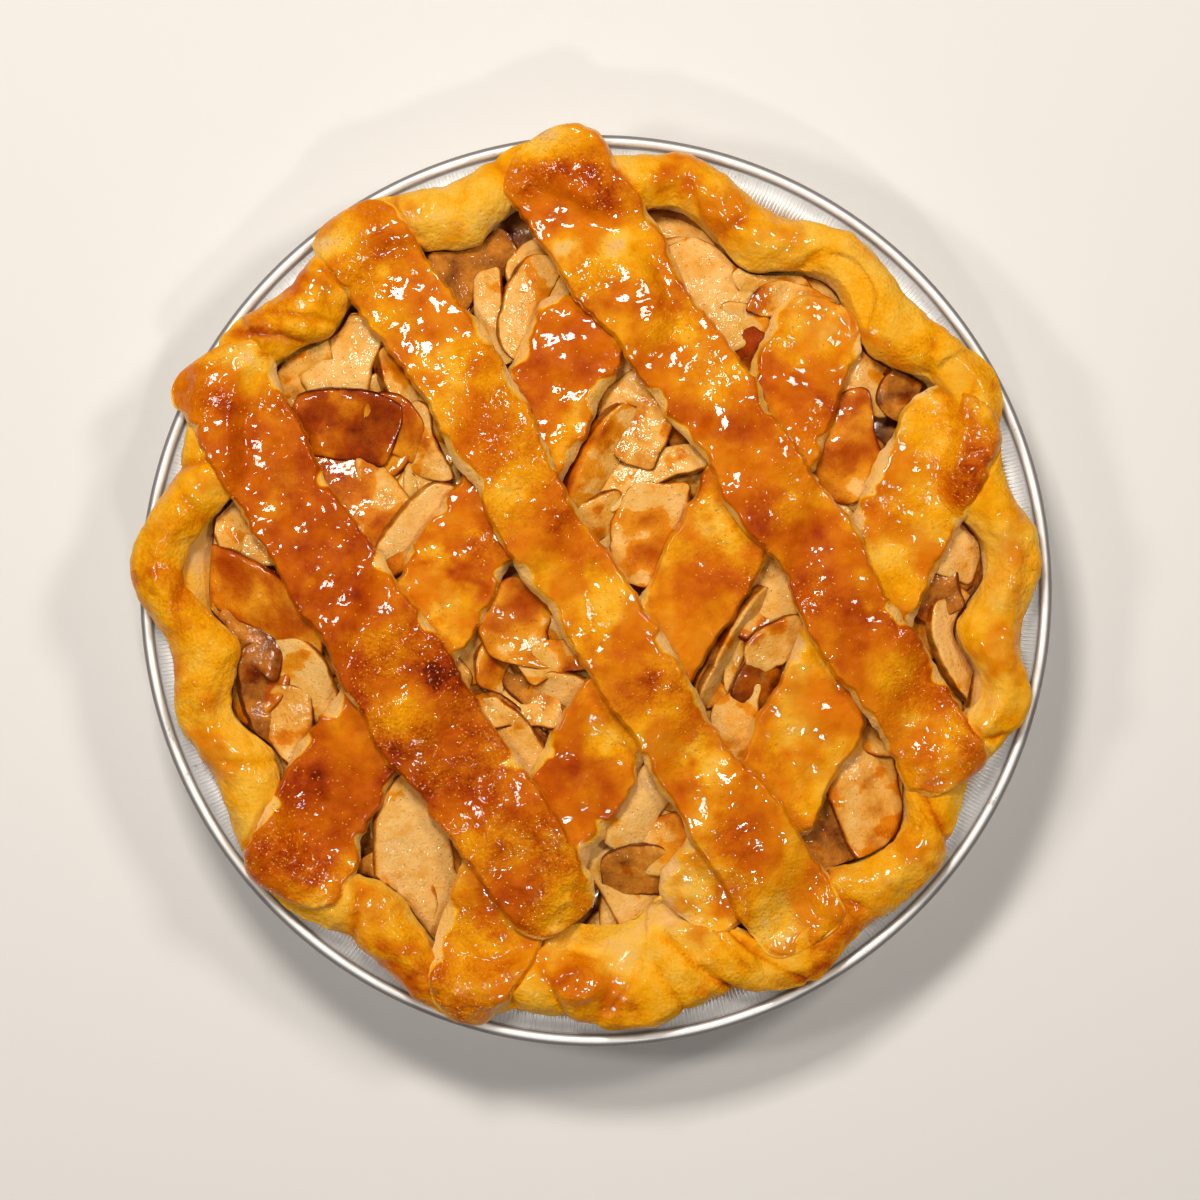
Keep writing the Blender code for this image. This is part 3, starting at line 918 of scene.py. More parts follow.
class ShapeTree(NodeSheet):
    """Geometry nodes with named inputs that give a mesh with one finish."""

    def __init__(self, name: str, inputs: dict[str, str]) -> None:
        """Start the tree.

        Args:
            name: Name of the tree.
            inputs: Kind of each named input, besides the geometry and the finish.
        """
        super().__init__(bpy.data.node_groups.new(name, "GeometryNodeTree"))
        for title, kind in {"Geometry": "Geometry", **inputs, "Finish": "Material"}.items():
            self.tree.interface.new_socket(title, in_out="INPUT", socket_type="NodeSocket" + kind)
        self.tree.interface.new_socket("Geometry", in_out="OUTPUT", socket_type="NodeSocketGeometry")
        self.given = self.node("NodeGroupInput").outputs

    def spread(self, points: Socket, piece: Socket, rotation: Socket, scale: Socket) -> bpy.types.Node:
        """Lay a piece on every point and make the copies real."""
        copies = self.step(
            "GeometryNodeInstanceOnPoints", Points=points, Instance=piece, Rotation=rotation, Scale=scale
        )
        return self.step("GeometryNodeRealizeInstances", Geometry=copies)

    def random_scale(self, least: object, most: tuple[float, float, float], seed: object) -> Socket:
        """Random scale for each copy between two vectors.

        Args:
            least: Smallest scale.
            most: Largest scale.
            seed: Number that fixes the draw.

        Returns:
            The scale.
        """
        made = self.node("FunctionNodeRandomValue", data_type="FLOAT_VECTOR")
        for name, value in (("Min", least), ("Max", most), ("Seed", seed)):
            self.feed(made.inputs[name], value)
        return made.outputs["Value"]

    def finished(self, geometry: bpy.types.Node) -> bpy.types.NodeTree:
        """Give the geometry its finish and end the tree.

        Args:
            geometry: The node with the whole geometry.

        Returns:
            The node tree.
        """
        painted = self.step("GeometryNodeSetMaterial", Geometry=geometry, Material=self.given["Finish"])
        self.join(painted.outputs[0], self.node("NodeGroupOutput").inputs[0])
        return self.tree


def run_nodes(piece: bpy.types.Object, tree: bpy.types.NodeTree, values: dict[str, object]) -> None:
    """Run a node tree on a piece and keep the result as its plain mesh.

    Args:
        piece: The object whose mesh the tree takes and replaces.
        tree: The node tree.
        values: Value of each named input.
    """
    modifier = piece.modifiers.new(tree.name, "NODES")
    modifier.node_group = tree
    for item in tree.interface.items_tree:
        if item.item_type == "SOCKET" and item.in_out == "INPUT" and item.name in values:
            modifier[item.identifier] = values[item.name]
    bpy.context.view_layer.update()
    graph = bpy.context.evaluated_depsgraph_get()
    evaluated = piece.evaluated_get(graph)
    result = bpy.data.meshes.new_from_object(evaluated, preserve_all_data_layers=True, depsgraph=graph)
    result.materials.clear()
    result.materials.append(values["Finish"])
    piece.modifiers.remove(modifier)
    old = piece.data
    piece.data = result
    bpy.data.meshes.remove(old)


# Finishes


AMBER_TINT = (0.79, 0.45, 0.045, 1.0)


@dataclass(frozen=True)
class PastryFinish:
    """Baked pastry under an egg and caramel glaze. It reads bake, glaze and rough from the mesh.

    Sizes are those of the patterns, in millimetres. Shares say how far a pattern moves the level of baking.
    """

    name: str
    dough: tuple = linear(232, 182, 112)
    straw: tuple = linear(242, 184, 60)
    golden: tuple = linear(238, 160, 8)
    orange: tuple = linear(214, 122, 2)
    copper: tuple = linear(178, 77, 1)
    umber: tuple = linear(124, 42, 2)
    burnt: tuple = linear(92, 24, 3)
    broad_size: float = 12.0
    broad_share: float = 0.55
    mottle_size: float = 4.2
    mottle_share: float = 0.36
    speckle_size: float = 0.8
    speckle_share: tuple[float, float] = (0.06, 0.5)
    pool_size: float = 9.0
    pool_share: float = 1.5
    thickest_glaze: float = 0.9
    ripple_size: float = 3.6
    bubble_size: float = 1.0
    film_size: float = 1.6

    def stops(self) -> tuple[tuple[float, tuple], ...]:
        """Colours from raw to burnt by the level of baking."""
        return (
            (0.0, self.dough),
            (0.2, self.straw),
            (0.4, self.golden),
            (0.58, self.orange),
            (0.74, self.copper),
            (0.88, self.umber),
            (1.0, self.burnt),
        )

    def material(self) -> bpy.types.Material:
        """Build the finish.

        Returns:
            The material.
        """
        made = Shading(self.name)
        glaze = made.mark("glaze")
        pooled = made.plus(glaze, made.swing(self.pool_size, 3.0, 0.5), self.pool_share)
        thickness = made.span(pooled, 0.3, 0.95, 0.0, self.thickest_glaze)
        bare = made.math("SUBTRACT", self.thickest_glaze, thickness)
        coarse = made.plus(made.mark("rough"), bare, 0.35, clamp=True)
        level = made.plus(made.mark("bake"), made.swing(self.broad_size, 2.0, 0.5), self.broad_share)
        level = made.plus(level, made.swing(self.mottle_size, 4.0, 0.6), self.mottle_share)
        specked = made.span(coarse, 0.0, 1.0, *self.speckle_share)
        level = made.plus(level, made.swing(self.speckle_size, 3.0, 0.7), specked, clamp=True)
        baked = made.ramp(level, self.stops())
        tinted = made.mix(1.0, baked, AMBER_TINT, "MULTIPLY")
        made.show("Base Color", made.mix(thickness, baked, tinted))
        made.show("Roughness", made.plus(made.span(glaze, 0.0, 0.7, 0.55, 0.36), coarse, 0.1))
        wet = made.span(glaze, 0.05, 0.5, 0.0, 1.0)
        made.show("Coat Weight", made.math("MULTIPLY", wet, made.span(coarse, 0.2, 1.0, 1.0, 0.4)))
        ripple = made.bump(made.noise(self.ripple_size, 1.5, 0.5), 0.4, 0.65)
        blistered = made.span(coarse, 0.0, 0.8, 0.2, 1.0)
        made.show("Normal", made.bump(made.noise(self.bubble_size, 2.5, 0.6), 0.55, blistered, ripple))
        grainy = made.span(coarse, 0.1, 0.8, 0.05, 1.0)
        made.show("Coat Normal", made.bump(made.noise(self.film_size, 1.0, 0.5), 0.3, grainy, ripple))
        made.constant(
            Subsurface_Weight=0.1,
            Subsurface_Radius=(1.0, 0.42, 0.12),
            Subsurface_Scale=0.002,
            Specular_IOR_Level=0.03,
            Coat_Roughness=0.05,
            Coat_IOR=1.38,
        )
        return made.material


@dataclass(frozen=True)
class AppleFinish:
    """Soft baked apple flesh, wet with juice. It reads tone, glaze and edge from the mesh.

    Sizes are those of the patterns, in millimetres. Shares say how far a pattern or mark moves a level.
    """

    name: str
    pale: tuple = linear(240, 188, 108)
    straw: tuple = linear(230, 164, 66)
    tan: tuple = linear(204, 126, 36)
    clear: tuple = linear(168, 100, 28)
    brown: tuple = linear(104, 44, 10)
    spice: tuple = linear(170, 92, 30)
    thin_glaze: tuple = (0.94, 0.64, 0.08, 1.0)
    deep_glaze: tuple = (0.56, 0.19, 0.008, 1.0)
    mottle_size: float = 6.0
    mottle_share: float = 1.3
    edge_share: float = 0.7
    grain_size: float = 0.7
    pool_size: float = 6.5
    pool_share: float = 1.5
    fibre_size: float = 2.4
    film_size: float = 3.4
    bead_size: float = 1.8

    def stops(self) -> tuple[tuple[float, tuple], ...]:
        """Colours from firm pale flesh to soft brown."""
        return ((0.0, self.pale), (0.3, self.straw), (0.52, self.tan), (0.74, self.clear), (1.0, self.brown))

    def material(self) -> bpy.types.Material:
        """Build the finish.

        Returns:
            The material.
        """
        made = Shading(self.name)
        level = made.plus(made.mark("tone"), made.swing(self.mottle_size, 5.0, 0.62), self.mottle_share)
        flesh = made.ramp(made.plus(level, made.mark("edge"), self.edge_share, clamp=True), self.stops())
        grain = made.noise(self.grain_size, 2.0, 0.6)
        spiced = made.mix(made.span(grain, 0.6, 0.72, 0.0, 0.5), flesh, self.spice)
        pool = made.plus(made.mark("glaze"), made.swing(self.pool_size, 3.0, 0.5), self.pool_share)
        covered = made.span(pool, 0.38, 0.5, 0.0, 1.0)
        thin = made.mix(1.0, spiced, self.thin_glaze, "MULTIPLY")
        deep = made.mix(1.0, spiced, self.deep_glaze, "MULTIPLY")
        glazed = made.mix(made.span(pool, 0.42, 1.2, 0.05, 1.0), thin, deep)
        made.show("Base Color", made.mix(covered, spiced, glazed))
        made.show("Roughness", made.span(covered, 0.0, 1.0, 0.42, 0.2))
        made.show("Coat Weight", made.span(covered, 0.0, 1.0, 0.6, 0.85))
        stringy = made.span(covered, 0.0, 1.0, 0.8, 0.3)
        fibre = made.bump(made.noise(self.fibre_size, 4.0, 0.65), 0.7, stringy)
        made.show("Normal", made.bump(grain, 0.25, 0.8, fibre))
        film = made.bump(made.noise(self.film_size, 1.5), 0.5, 0.6)
        beaded = made.span(covered, 0.0, 1.0, 0.7, 0.1)
        made.show("Coat Normal", made.bump(made.noise(self.bead_size, 2.0), 0.4, beaded, film))
        made.constant(
            Subsurface_Weight=0.16,
            Subsurface_Radius=(1.0, 0.55, 0.2),
            Subsurface_Scale=0.0025,
            Specular_IOR_Level=0.04,
            Coat_Roughness=0.06,
            Coat_IOR=1.4,
        )
        return made.material


@dataclass(frozen=True)
class JuiceFinish:
    """Thick caramel juice and soft apple in the depth between the slices."""

    name: str
    deep: tuple = linear(128, 66, 24)
    bright: tuple = linear(206, 140, 70)

    def material(self) -> bpy.types.Material:
        """Build the finish.

        Returns:
            The material.
        """
        made = Shading(self.name)
        made.show("Base Color", made.ramp(made.noise(6.0, 3.0), ((0.3, self.deep), (0.7, self.bright))))
        made.show("Normal", made.bump(made.noise(3.0, 3.0), 0.6, 0.7))
        made.constant(Roughness=0.22, Coat_Weight=0.5, Coat_Roughness=0.08)
        return made.material


@dataclass(frozen=True)
class FoilFinish:
    """Bright rolled aluminium foil with a few oven stains. It reads from the mesh a mark of painted shade
    between the crimps, a painted dark reflection outside the bead and a dark groove.
    """

    name: str
    metal: tuple = (0.97, 0.96, 0.95, 1.0)
    stain_and_shade: tuple = linear(72, 46, 26)

    def material(self) -> bpy.types.Material:
        """Build the finish.

        Returns:
            The material.
        """
        made = Shading(self.name)
        spots = made.span(made.noise(9.0, 6.0, 0.78), 0.6, 0.68, 0.0, 0.45)
        # Noise spots are real oven stains; the mesh's mark adds painted shade and a painted dark reflection.
        stain_and_shade_share = made.math("MAXIMUM", spots, made.mark("stain_and_shade"))
        made.show("Base Color", made.mix(stain_and_shade_share, self.metal, self.stain_and_shade))
        made.show("Roughness", made.span(made.noise(8.0, 4.0), 0.3, 0.7, 0.42, 0.52))
        made.show("Normal", made.bump(made.noise(7.0, 3.0), 0.3, 0.35))
        made.constant(Metallic=0.48)
        return made.material


@dataclass(frozen=True)
class GrainFinish:
    """One plain colour that varies a little, for spice and drops of glaze."""

    name: str
    dark: tuple
    light: tuple
    roughness: float

    def material(self) -> bpy.types.Material:
        """Build the finish.

        Returns:
            The material.
        """
        made = Shading(self.name)
        made.show("Base Color", made.ramp(made.noise(1.5), ((0.3, self.dark), (0.7, self.light))))
        made.constant(Roughness=self.roughness)
        return made.material


# The tin


@dataclass
class FoilTin:
    """Turned foil tin with a rolled bead, radial crimps on its flange and pleats on its wall."""

    finish: FoilFinish
    sheet: float = 0.5
    base_radius: float = 88.0
    base_ring: tuple[float, float, float] = (60.0, 65.0, 0.6)
    base_ring_slope: float = 1.0
    base_start: float = 30.0
    bend_radius: float = 92.0
    mouth_radius: float = 110.4
    rim_radius: float = 122.5
    bend_height: float = 2.5
    mouth_height: float = 29.3
    flange_height: float = 30.0
    bead_radius: float = 1.6
    bead_rise: float = 0.7
    groove_depth: float = 3.1
    sides: int = 360
    crimps: int = 720
    crimp_length: float = 7.0
    crimp_width: float = 0.92
    crimp_height: float = 0.56
    crimp_unevenness: float = 0.5
    crimp_inset: float = 1.2
    pleats: int = 132
    pleat_width: float = 3.4
    pleat_height: float = 1.3
    pleat_margin: float = 3.0

    def profile(self) -> Array:
        """Section of the sheet, from the axis outwards below and back above.

        Returns:
            Rows of radius and height.
        """
        slope = math.atan2(self.mouth_radius - self.bend_radius, self.mouth_height - self.bend_height)
        inward = self.sheet * math.cos(slope)
        upward = self.sheet * math.sin(slope)
        centre = self.rim_radius - self.bead_radius
        middle = self.flange_height + self.bead_rise
        turns = np.radians(np.linspace(-150.0, 170.0, 20))
        bead = np.column_stack(
            [centre + self.bead_radius * np.cos(turns), middle + self.bead_radius * np.sin(turns)]
        ).tolist()
        ring_inner, ring_outer, ring_height = self.base_ring
        base = (
            (self.base_start, 0.0),
            (ring_inner, 0.0),
            (ring_inner + self.base_ring_slope, ring_height),
            (ring_outer - self.base_ring_slope, ring_height),
            (ring_outer, 0.0),
        )
        under = [
            *base,
            (self.base_radius, 0.0),
            (self.base_radius + 2.4, 0.9),
            (self.bend_radius, self.bend_height),
            (self.mouth_radius, self.mouth_height),
            (self.mouth_radius + 0.5, self.flange_height - 0.15),
            (self.mouth_radius + 1.6, self.flange_height),
            (self.rim_radius - 4.2, self.flange_height + 0.1),
            (self.rim_radius - 3.5, self.flange_height - 0.6),
        ]
        over = [
            (self.rim_radius - 3.4, self.flange_height - 0.1),
            (self.rim_radius - 3.5, self.flange_height + 0.15),
            (self.rim_radius - 3.7, self.flange_height + self.sheet + 0.1),
            (self.mouth_radius + 1.3, self.flange_height + self.sheet),
            (self.mouth_radius - inward + 0.4, self.flange_height + 0.1),
            (self.mouth_radius - inward, self.mouth_height + upward),
            (self.bend_radius - inward, self.bend_height + upward),
            (self.base_radius + 2.0, 0.9 + self.sheet),
            (self.base_radius - 0.2, self.sheet),
            *((radius, height + self.sheet) for radius, height in reversed(base)),
        ]
        return np.array([*under, *bead, *over])

    def stain_and_shade(self, section: Array) -> Array:
        """Darkening along the section: in the groove by the bead, painted dark reflection outside the bead
        and painted shade between the crimps.

        Args:
            section: Rows of radius and height.

        Returns:
            One value for each row.
        """
        radius = section[:, 0]
        above = section[:, 1] > self.flange_height - 1.0
        groove = 0.85 * np.exp(-(((radius - (self.rim_radius - self.groove_depth)) / 0.4) ** 2)) * above
        # Painted dark reflection on the outer side of the bead.
        outside = 0.75 * between(radius, self.rim_radius - 1.4, self.rim_radius - 0.8)
        # Painted shade on the sheet between the crimp ridges, which carry no mark.
        painted_shade_between_crimps = 0.12 * above * (radius < self.rim_radius - 4.0)
        return np.maximum(np.maximum(groove, outside), painted_shade_between_crimps)

    def turned_sheet(self) -> bpy.types.Object:
        """Make the plain turned sheet.

        Returns:
            The object, with its faces turned outwards.
        """
        section = self.profile()
        turns = np.arange(self.sides) * (2.0 * math.pi / self.sides)
        grid = turned(section[:, :1], section[:, 1:], turns)
        parts = MeshParts()
        parts.add_tube(grid, {"stain_and_shade": np.repeat(self.stain_and_shade(section)[:, None], self.sides, axis=1)})
        return parts.build("tin_sheet", self.finish.material())

    def crimp_tree(self) -> bpy.types.NodeTree:
        """Geometry nodes that lay ridges round the flange and up the wall and join them to the sheet.

        Returns:
            The node tree, with named inputs for the counts and sizes.
        """
        sizes = ("Length", "Width", "Height", "Radius", "Level", "Tilt", "Unevenness")
        made = ShapeTree("foil_crimps", {"Ridges": "Int", **dict.fromkeys(sizes, "Float")})
        given = made.given
        circle = made.step("GeometryNodeMeshCircle", Vertices=given["Ridges"], Radius=given["Radius"])
        level = made.vector(z=given["Level"])
        places = made.step("GeometryNodeTransform", Geometry=circle, Translation=level).outputs[0]
        ridge = made.step("GeometryNodeMeshCylinder", Vertices=4, Radius=0.5, Depth=1.0)
        for change in (
            {"Rotation": (0.0, 0.5 * math.pi, 0.0)},
            {"Scale": made.vector(given["Length"], given["Width"], given["Height"])},
            {"Rotation": made.vector(y=given["Tilt"])},
        ):
            ridge = made.step("GeometryNodeTransform", Geometry=ridge, **change)
        parts = made.step("ShaderNodeSeparateXYZ", Vector=made.node("GeometryNodeInputPosition"))
        bearing = made.math("ARCTAN2", parts.outputs["Y"], parts.outputs["X"])
        least = made.vector(1.0, 0.75, made.math("SUBTRACT", 1.0, given["Unevenness"]))
        scale = made.random_scale(least, (1.0, 1.05, 1.0), 8)
        joined = made.node("GeometryNodeJoinGeometry")
        made.feed(joined.inputs[0], given["Geometry"])
        made.feed(joined.inputs[0], made.spread(places, ridge, made.vector(z=bearing), scale))
        return made.finished(joined)

    def build(self) -> None:
        """Make the tin and put it in place of its node."""
        tin = self.turned_sheet()
        tree = self.crimp_tree()
        run = self.mouth_radius - self.bend_radius
        rise = self.mouth_height - self.bend_height
        crimps = {
            "Ridges": self.crimps,
            "Length": self.crimp_length * MM,
            "Width": self.crimp_width * MM,
            "Height": self.crimp_height * MM,
            "Radius": (0.5 * (self.mouth_radius + self.rim_radius) - self.crimp_inset) * MM,
            "Level": (self.flange_height + self.sheet) * MM,
            "Tilt": 0.0,
            "Unevenness": self.crimp_unevenness,
        }
        pleats = {
            "Ridges": self.pleats,
            "Length": (math.hypot(run, rise) - self.pleat_margin) * MM,
            "Width": self.pleat_width * MM,
            "Height": self.pleat_height * MM,
            "Radius": 0.5 * (self.mouth_radius + self.bend_radius) * MM,
            "Level": 0.5 * (self.mouth_height + self.bend_height) * MM,
            "Tilt": -math.atan2(rise, run),
            "Unevenness": 0.0,
        }
        finish = tin.data.materials[0]
        for values in (crimps, pleats):
            run_nodes(tin, tree, {**values, "Finish": finish})
        tin.data.shade_smooth()
        place(tin, "foil", "tin")


# The crust


RIM_PATCHES = table(
    Baked,
    (-5, -105, 6, 0.1, 0.2, 0.8), (9, -112, 4.5, 0.2, 0.6, 0.3), (20, -103, 9, -0.14, 0.6, -0.5),
    (22, 112, 9, 0.16, 0.4, 0.3), (40, 104, 9, 0.04, 0.3, 0.2), (66, 92, 12, -0.04, 0.5, -0.2),
    (92, 72, 12, -0.04, 0.5, -0.4), (66, -98, 8, 0.3, 0.8, 0.3), (56, -104, 7, 0.14, 0.5, 0.3),
    (-122, 6, 8, 0.24, 0.3, 0.4), (-112, -2, 8, 0.1, 0.3, 0.3), (108, 60, 8, 0.16, 0.5, 0.1),
    (114, 8, 9, -0.06, 0.2, 0.1), (110, -36, 9, 0.02, 0.3, -0.1), (95, -76, 9, 0.16, 0.3, 0.4),
    (76, -88, 10, 0.04, 0.3, 0.2), (-34, 100, 9, -0.16, 0.2, -0.3), (-52, 98, 8, -0.05, 0.3, 0.1),
    (-80, 84, 9, 0.14, 0.1, 0.6), (-90, 72, 9, 0.1, 0.1, 0.5), (-112, -30, 9, 0.04, 0.3, 0.2),
    (-104, -50, 9, -0.1, 0.3, 0.0), (-98, -62, 9, 0.0, 0.3, 0.2), (-54, -100, 9, 0.16, 0.2, 0.5),
    (-44, -108, 8, 0.26, 0.6, 0.3), (14, -88, 16, -0.05, 0.3, -0.1), (38, -106, 6, 0.12, 0.5, 0.1),
)


@dataclass(frozen=True)
class Crease:
    """A fold line across the rim: its bearing, how far it slants, its depth, width and span over the rim."""

    bearing: float
    slant: float
    depth: float
    width: float
    start: float = 0.0
    end: float = 1.0


CREASES = table(
    Crease,
    (279.5, 5.0, 1.2, 1.4, 0.3, 1.0), (284.5, 9.0, 1.5, 1.2, 0.1, 1.0), (291.0, 4.0, 0.7, 1.4, 0.0, 0.6),
    (274.0, -9.0, 1.0, 1.1, 0.1, 0.8), (295.0, 7.0, 1.2, 1.1, 0.0, 1.0), (301.5, 8.0, 1.1, 1.2, 0.0, 0.7),
    (263.0, 6.0, 0.9, 1.2, 0.2, 1.0), (226.0, 5.0, 0.9, 1.2, 0.0, 0.8), (150.0, -6.0, 1.1, 1.2, 0.2, 1.0),
    (137.0, 6.0, 1.0, 1.2, 0.0, 0.8), (28.0, 6.0, 0.9, 1.2, 0.0, 0.7), (69.0, -5.0, 0.8, 1.4, 0.0, 0.7),
    (272.0, -4.0, 0.9, 1.8, 0.4, 1.0), (257.0, 5.0, 1.2, 1.8, 0.0, 0.9), (132.0, -4.0, 0.8, 2.2, 0.0, 0.6),
    (142.0, 5.0, 1.1, 2.0, 0.1, 0.9), (161.0, 5.0, 1.2, 1.8, 0.2, 1.0), (168.0, -5.0, 1.0, 1.6, 0.0, 0.8),
    (183.0, 8.0, 1.1, 2.0, 0.0, 0.7), (206.0, -4.0, 0.9, 2.0, 0.0, 0.7), (233.0, 4.0, 1.0, 1.8, 0.2, 1.0),
    (102.0, 3.0, 1.2, 1.8, 0.0, 1.0), (77.0, 5.0, 0.9, 2.0, 0.0, 0.6), (56.0, -3.0, 0.9, 2.2, 0.0, 0.6),
    (35.0, 5.0, 0.9, 1.8, 0.0, 0.8), (24.0, -4.0, 0.9, 1.8, 0.3, 1.0), (338.0, 5.0, 1.2, 1.8, 0.1, 1.0),
    (327.0, -5.0, 1.3, 1.8, 0.0, 1.0), (309.0, 4.0, 0.9, 2.0, 0.0, 0.8),
)


@dataclass
class PieCrust:
    """Pastry shell with its fat hand-crimped rim."""

    shape: PieShape
    lattice: Lattice
    finish: PastryFinish
    sides: int = 1080
    smoothing: int = 7
    rounded_knots: tuple[int, int] = (4, 14)
    shell_floor: float = 0.8
    shell_thickness: float = 4.2
    filling_lip: float = 105.3
    under_strips: float = 85.0
    crease_share: float = 1.35
    bubble: tuple[float, float, float, float] = (-5.0, -105.0, 7.0, 4.5)
    bubble_height: float = 1.3

    def sections(self, bearings: Array) -> Array:
        """Section points of the shell from its underside to its inside.

        Args:
            bearings: Bearings in degrees.

        Returns:
            Array by section point, bearing and radius or height.
        """
        outer = self.shape.rim_outer(bearings)
        inner = self.shape.rim_inner(bearings)
        top = self.shape.rim_height(bearings)
        shelf = self.shape.shelf(bearings)
        low = shelf / self.shape.shelf_width
        pairs = (
            (40.0, self.shell_floor),
            (87.0, self.shell_floor),
            (91.4, 3.4),
            (109.2, 29.6),
            (111.2, 31.1),
            (np.minimum(117.5, outer - 3.0), 31.2),
            (outer - 0.9, 33.0 + 0.5 * np.maximum(outer - 120.9, 0.0)),
            (outer, 36.5),
            (outer - 1.2, 39.2 + 0.25 * (top - 42.6)),
            (outer - 4.0, top - 1.2),
            (0.48 * outer + 0.52 * inner, top),
            (inner + 3.6, top - 1.6 - 0.8 * low),
            (inner + 0.9 - 0.6 * shelf, top - 3.9 - 0.9 * low),
            (inner - shelf, 36.2 + 0.6 * low),
            (inner + 0.8 - 0.9 * shelf, 32.6 + 1.4 * low),
            (np.minimum(inner + 0.6, self.filling_lip), 29.8),
            (86.0, 5.6),
            (40.0, self.shell_floor + self.shell_thickness),
        )
        level = np.ones(len(bearings))
        return np.array([np.column_stack([radius * level, height * level]) for radius, height in pairs])

    def smooth_sections(self, knots: Array) -> Array:
        """Rounded section through the knots, with more points where it curves.

        Args:
            knots: Section points by knot, bearing and radius or height.

        Returns:
            The same with more rows.
        """
        rows = []
        first, last = self.rounded_knots
        for i in range(len(knots) - 1):
            start, end = knots[i], knots[i + 1]
            if not first <= i <= last:
                rows.append(start)
                continue
            for share in np.arange(self.smoothing) / self.smoothing:
                rows.append(curve_point(knots[i - 1], start, end, knots[i + 2], share))
        rows.append(knots[-1])
        return np.array(rows)

    def folds(self, flat: Array) -> Array:
        """Depth of the fold lines at points of the rim.

        Args:
            flat: Points, one a row.

        Returns:
            One depth for each point.
        """
        bearing = np.degrees(np.arctan2(flat[:, 1], flat[:, 0]))
        radius = np.hypot(flat[:, 0], flat[:, 1])
        inner = self.shape.rim_inner(bearing)
        across = (radius - inner) / (self.shape.rim_outer(bearing) - inner)
        depth = np.zeros(len(flat))
        for crease in CREASES:
            line = crease.bearing + crease.slant * (across - 0.5)
            away = np.mod(bearing - line + 180.0, 360.0) - 180.0
            span = between(across, crease.start - 0.2, crease.start + 0.1)
            span *= 1.0 - between(across, crease.end - 0.1, crease.end + 0.2)
            sharp = np.exp(-np.abs(away * math.pi / 180.0 * radius / crease.width) ** 1.3)
            depth = np.maximum(depth, self.crease_share * crease.depth * sharp * span)
        return depth

    def lumps(self, flat: Array, knead: Grain) -> Array:
        """Height of the kneaded lumps and of the blister at points of the rim.

        Args:
            flat: Points, one a row.
            knead: Noise of the rim.

        Returns:
            One height for each point.
        """
        lumps = 0.95 * knead.layers(flat, 15.0, 2) + 0.6 * knead.wave(flat, 6.5) + 0.3 * knead.wave(flat, 2.8)
        lumps += 0.12 * knead.wave(flat + 25.0, 1.8)
        x, y, wide, tall = self.bubble
        ring = np.hypot((flat[:, 0] - x) / wide, (flat[:, 1] - y) / tall)
        return lumps + self.bubble_height * np.exp(-(((ring - 0.75) / 0.35) ** 2)) * (flat[:, 2] > 38.0)

    def build(self) -> None:
        """Make the crust and put it in place of its node."""
        bearings = np.arange(self.sides) * (360.0 / self.sides)
        section = self.smooth_sections(self.sections(bearings))
        grid = turned(section[..., 0], section[..., 1], np.radians(bearings))
        normals = outward_normals(grid)
        ridge = int(np.argmax(section[:, 0, 1]))
        if normals[ridge, 0, 2] < 0.0:
            normals = -normals
        flat = grid.reshape(-1, 3)
        upper = between(flat[:, 2], 32.0, 35.0)
        knead = Grain(5)
        marks = {
            "bake": 0.26 + 0.08 * between(flat[:, 2], 34.0, 42.0) + 0.1 * knead.wave(flat, 14.0),
            "glaze": 0.38 + 0.5 * knead.layers(flat + 40.0, 15.0, 2),
            "rough": np.clip(0.28 + 0.6 * knead.wave(flat, 16.0), 0.0, 1.0),
        }
        add_patches(marks, RIM_PATCHES, flat, knead)
        folds = self.folds(flat)
        relief = self.lumps(flat, knead) - folds
        flat = flat + normals.reshape(-1, 3) * (relief * upper)[:, None]
        limit = self.lattice.ceiling(flat[:, 0], flat[:, 1], slack=0.1, slope=1.8)
        may_touch = (np.hypot(flat[:, 0], flat[:, 1]) > self.under_strips) & (upper > 0.0)
        flat[:, 2] = np.where(may_touch, np.minimum(flat[:, 2], limit), flat[:, 2])
        shade = between(flat[:, 2], 33.0, 38.0)
        reached = between(flat[:, 2] + 1.2 * knead.wave(flat, 9.0), 35.0, 38.0)
        # Bake rises by 0.14 times the fold depth, which darkens the fold lines: painted shade in the creases.
        marks["bake"] = np.clip(marks["bake"] * (0.35 + 0.65 * shade) + 0.14 * folds, 0.0, 1.0)
        marks["glaze"] = np.clip(marks["glaze"], 0.0, 1.0) * reached
        marks["rough"] = np.clip(marks["rough"], 0.0, 1.0)
        parts = MeshParts()
        parts.add_tube(flat.reshape(grid.shape), marks)
        place(parts.build("crust_rim", self.finish.material()), "rim_pastry", "crust")


# The strips


def blur_rows(values: Array, width: float) -> Array:
    """Gaussian blur along the first axis, with held ends.

    Args:
        values: Array of rows.
        width: Standard deviation in rows.

    Returns:
        Blurred array of the same shape.
    """
    reach = int(3 * width)
    kernel = np.exp(-0.5 * (np.arange(-reach, reach + 1) / width) ** 2)
    kernel /= kernel.sum()
    padded = np.pad(values, ((reach, reach), (0, 0)), mode="edge")
    return np.array([np.convolve(column, kernel, mode="valid") for column in padded.T]).T


@dataclass
class StripSurface:
    """Points of a strip's surface before they have a height, with one value of each kind for each point."""

    x: Array
    y: Array
    inside: Array
    side: Array
    melted: Array
    rounded: Array


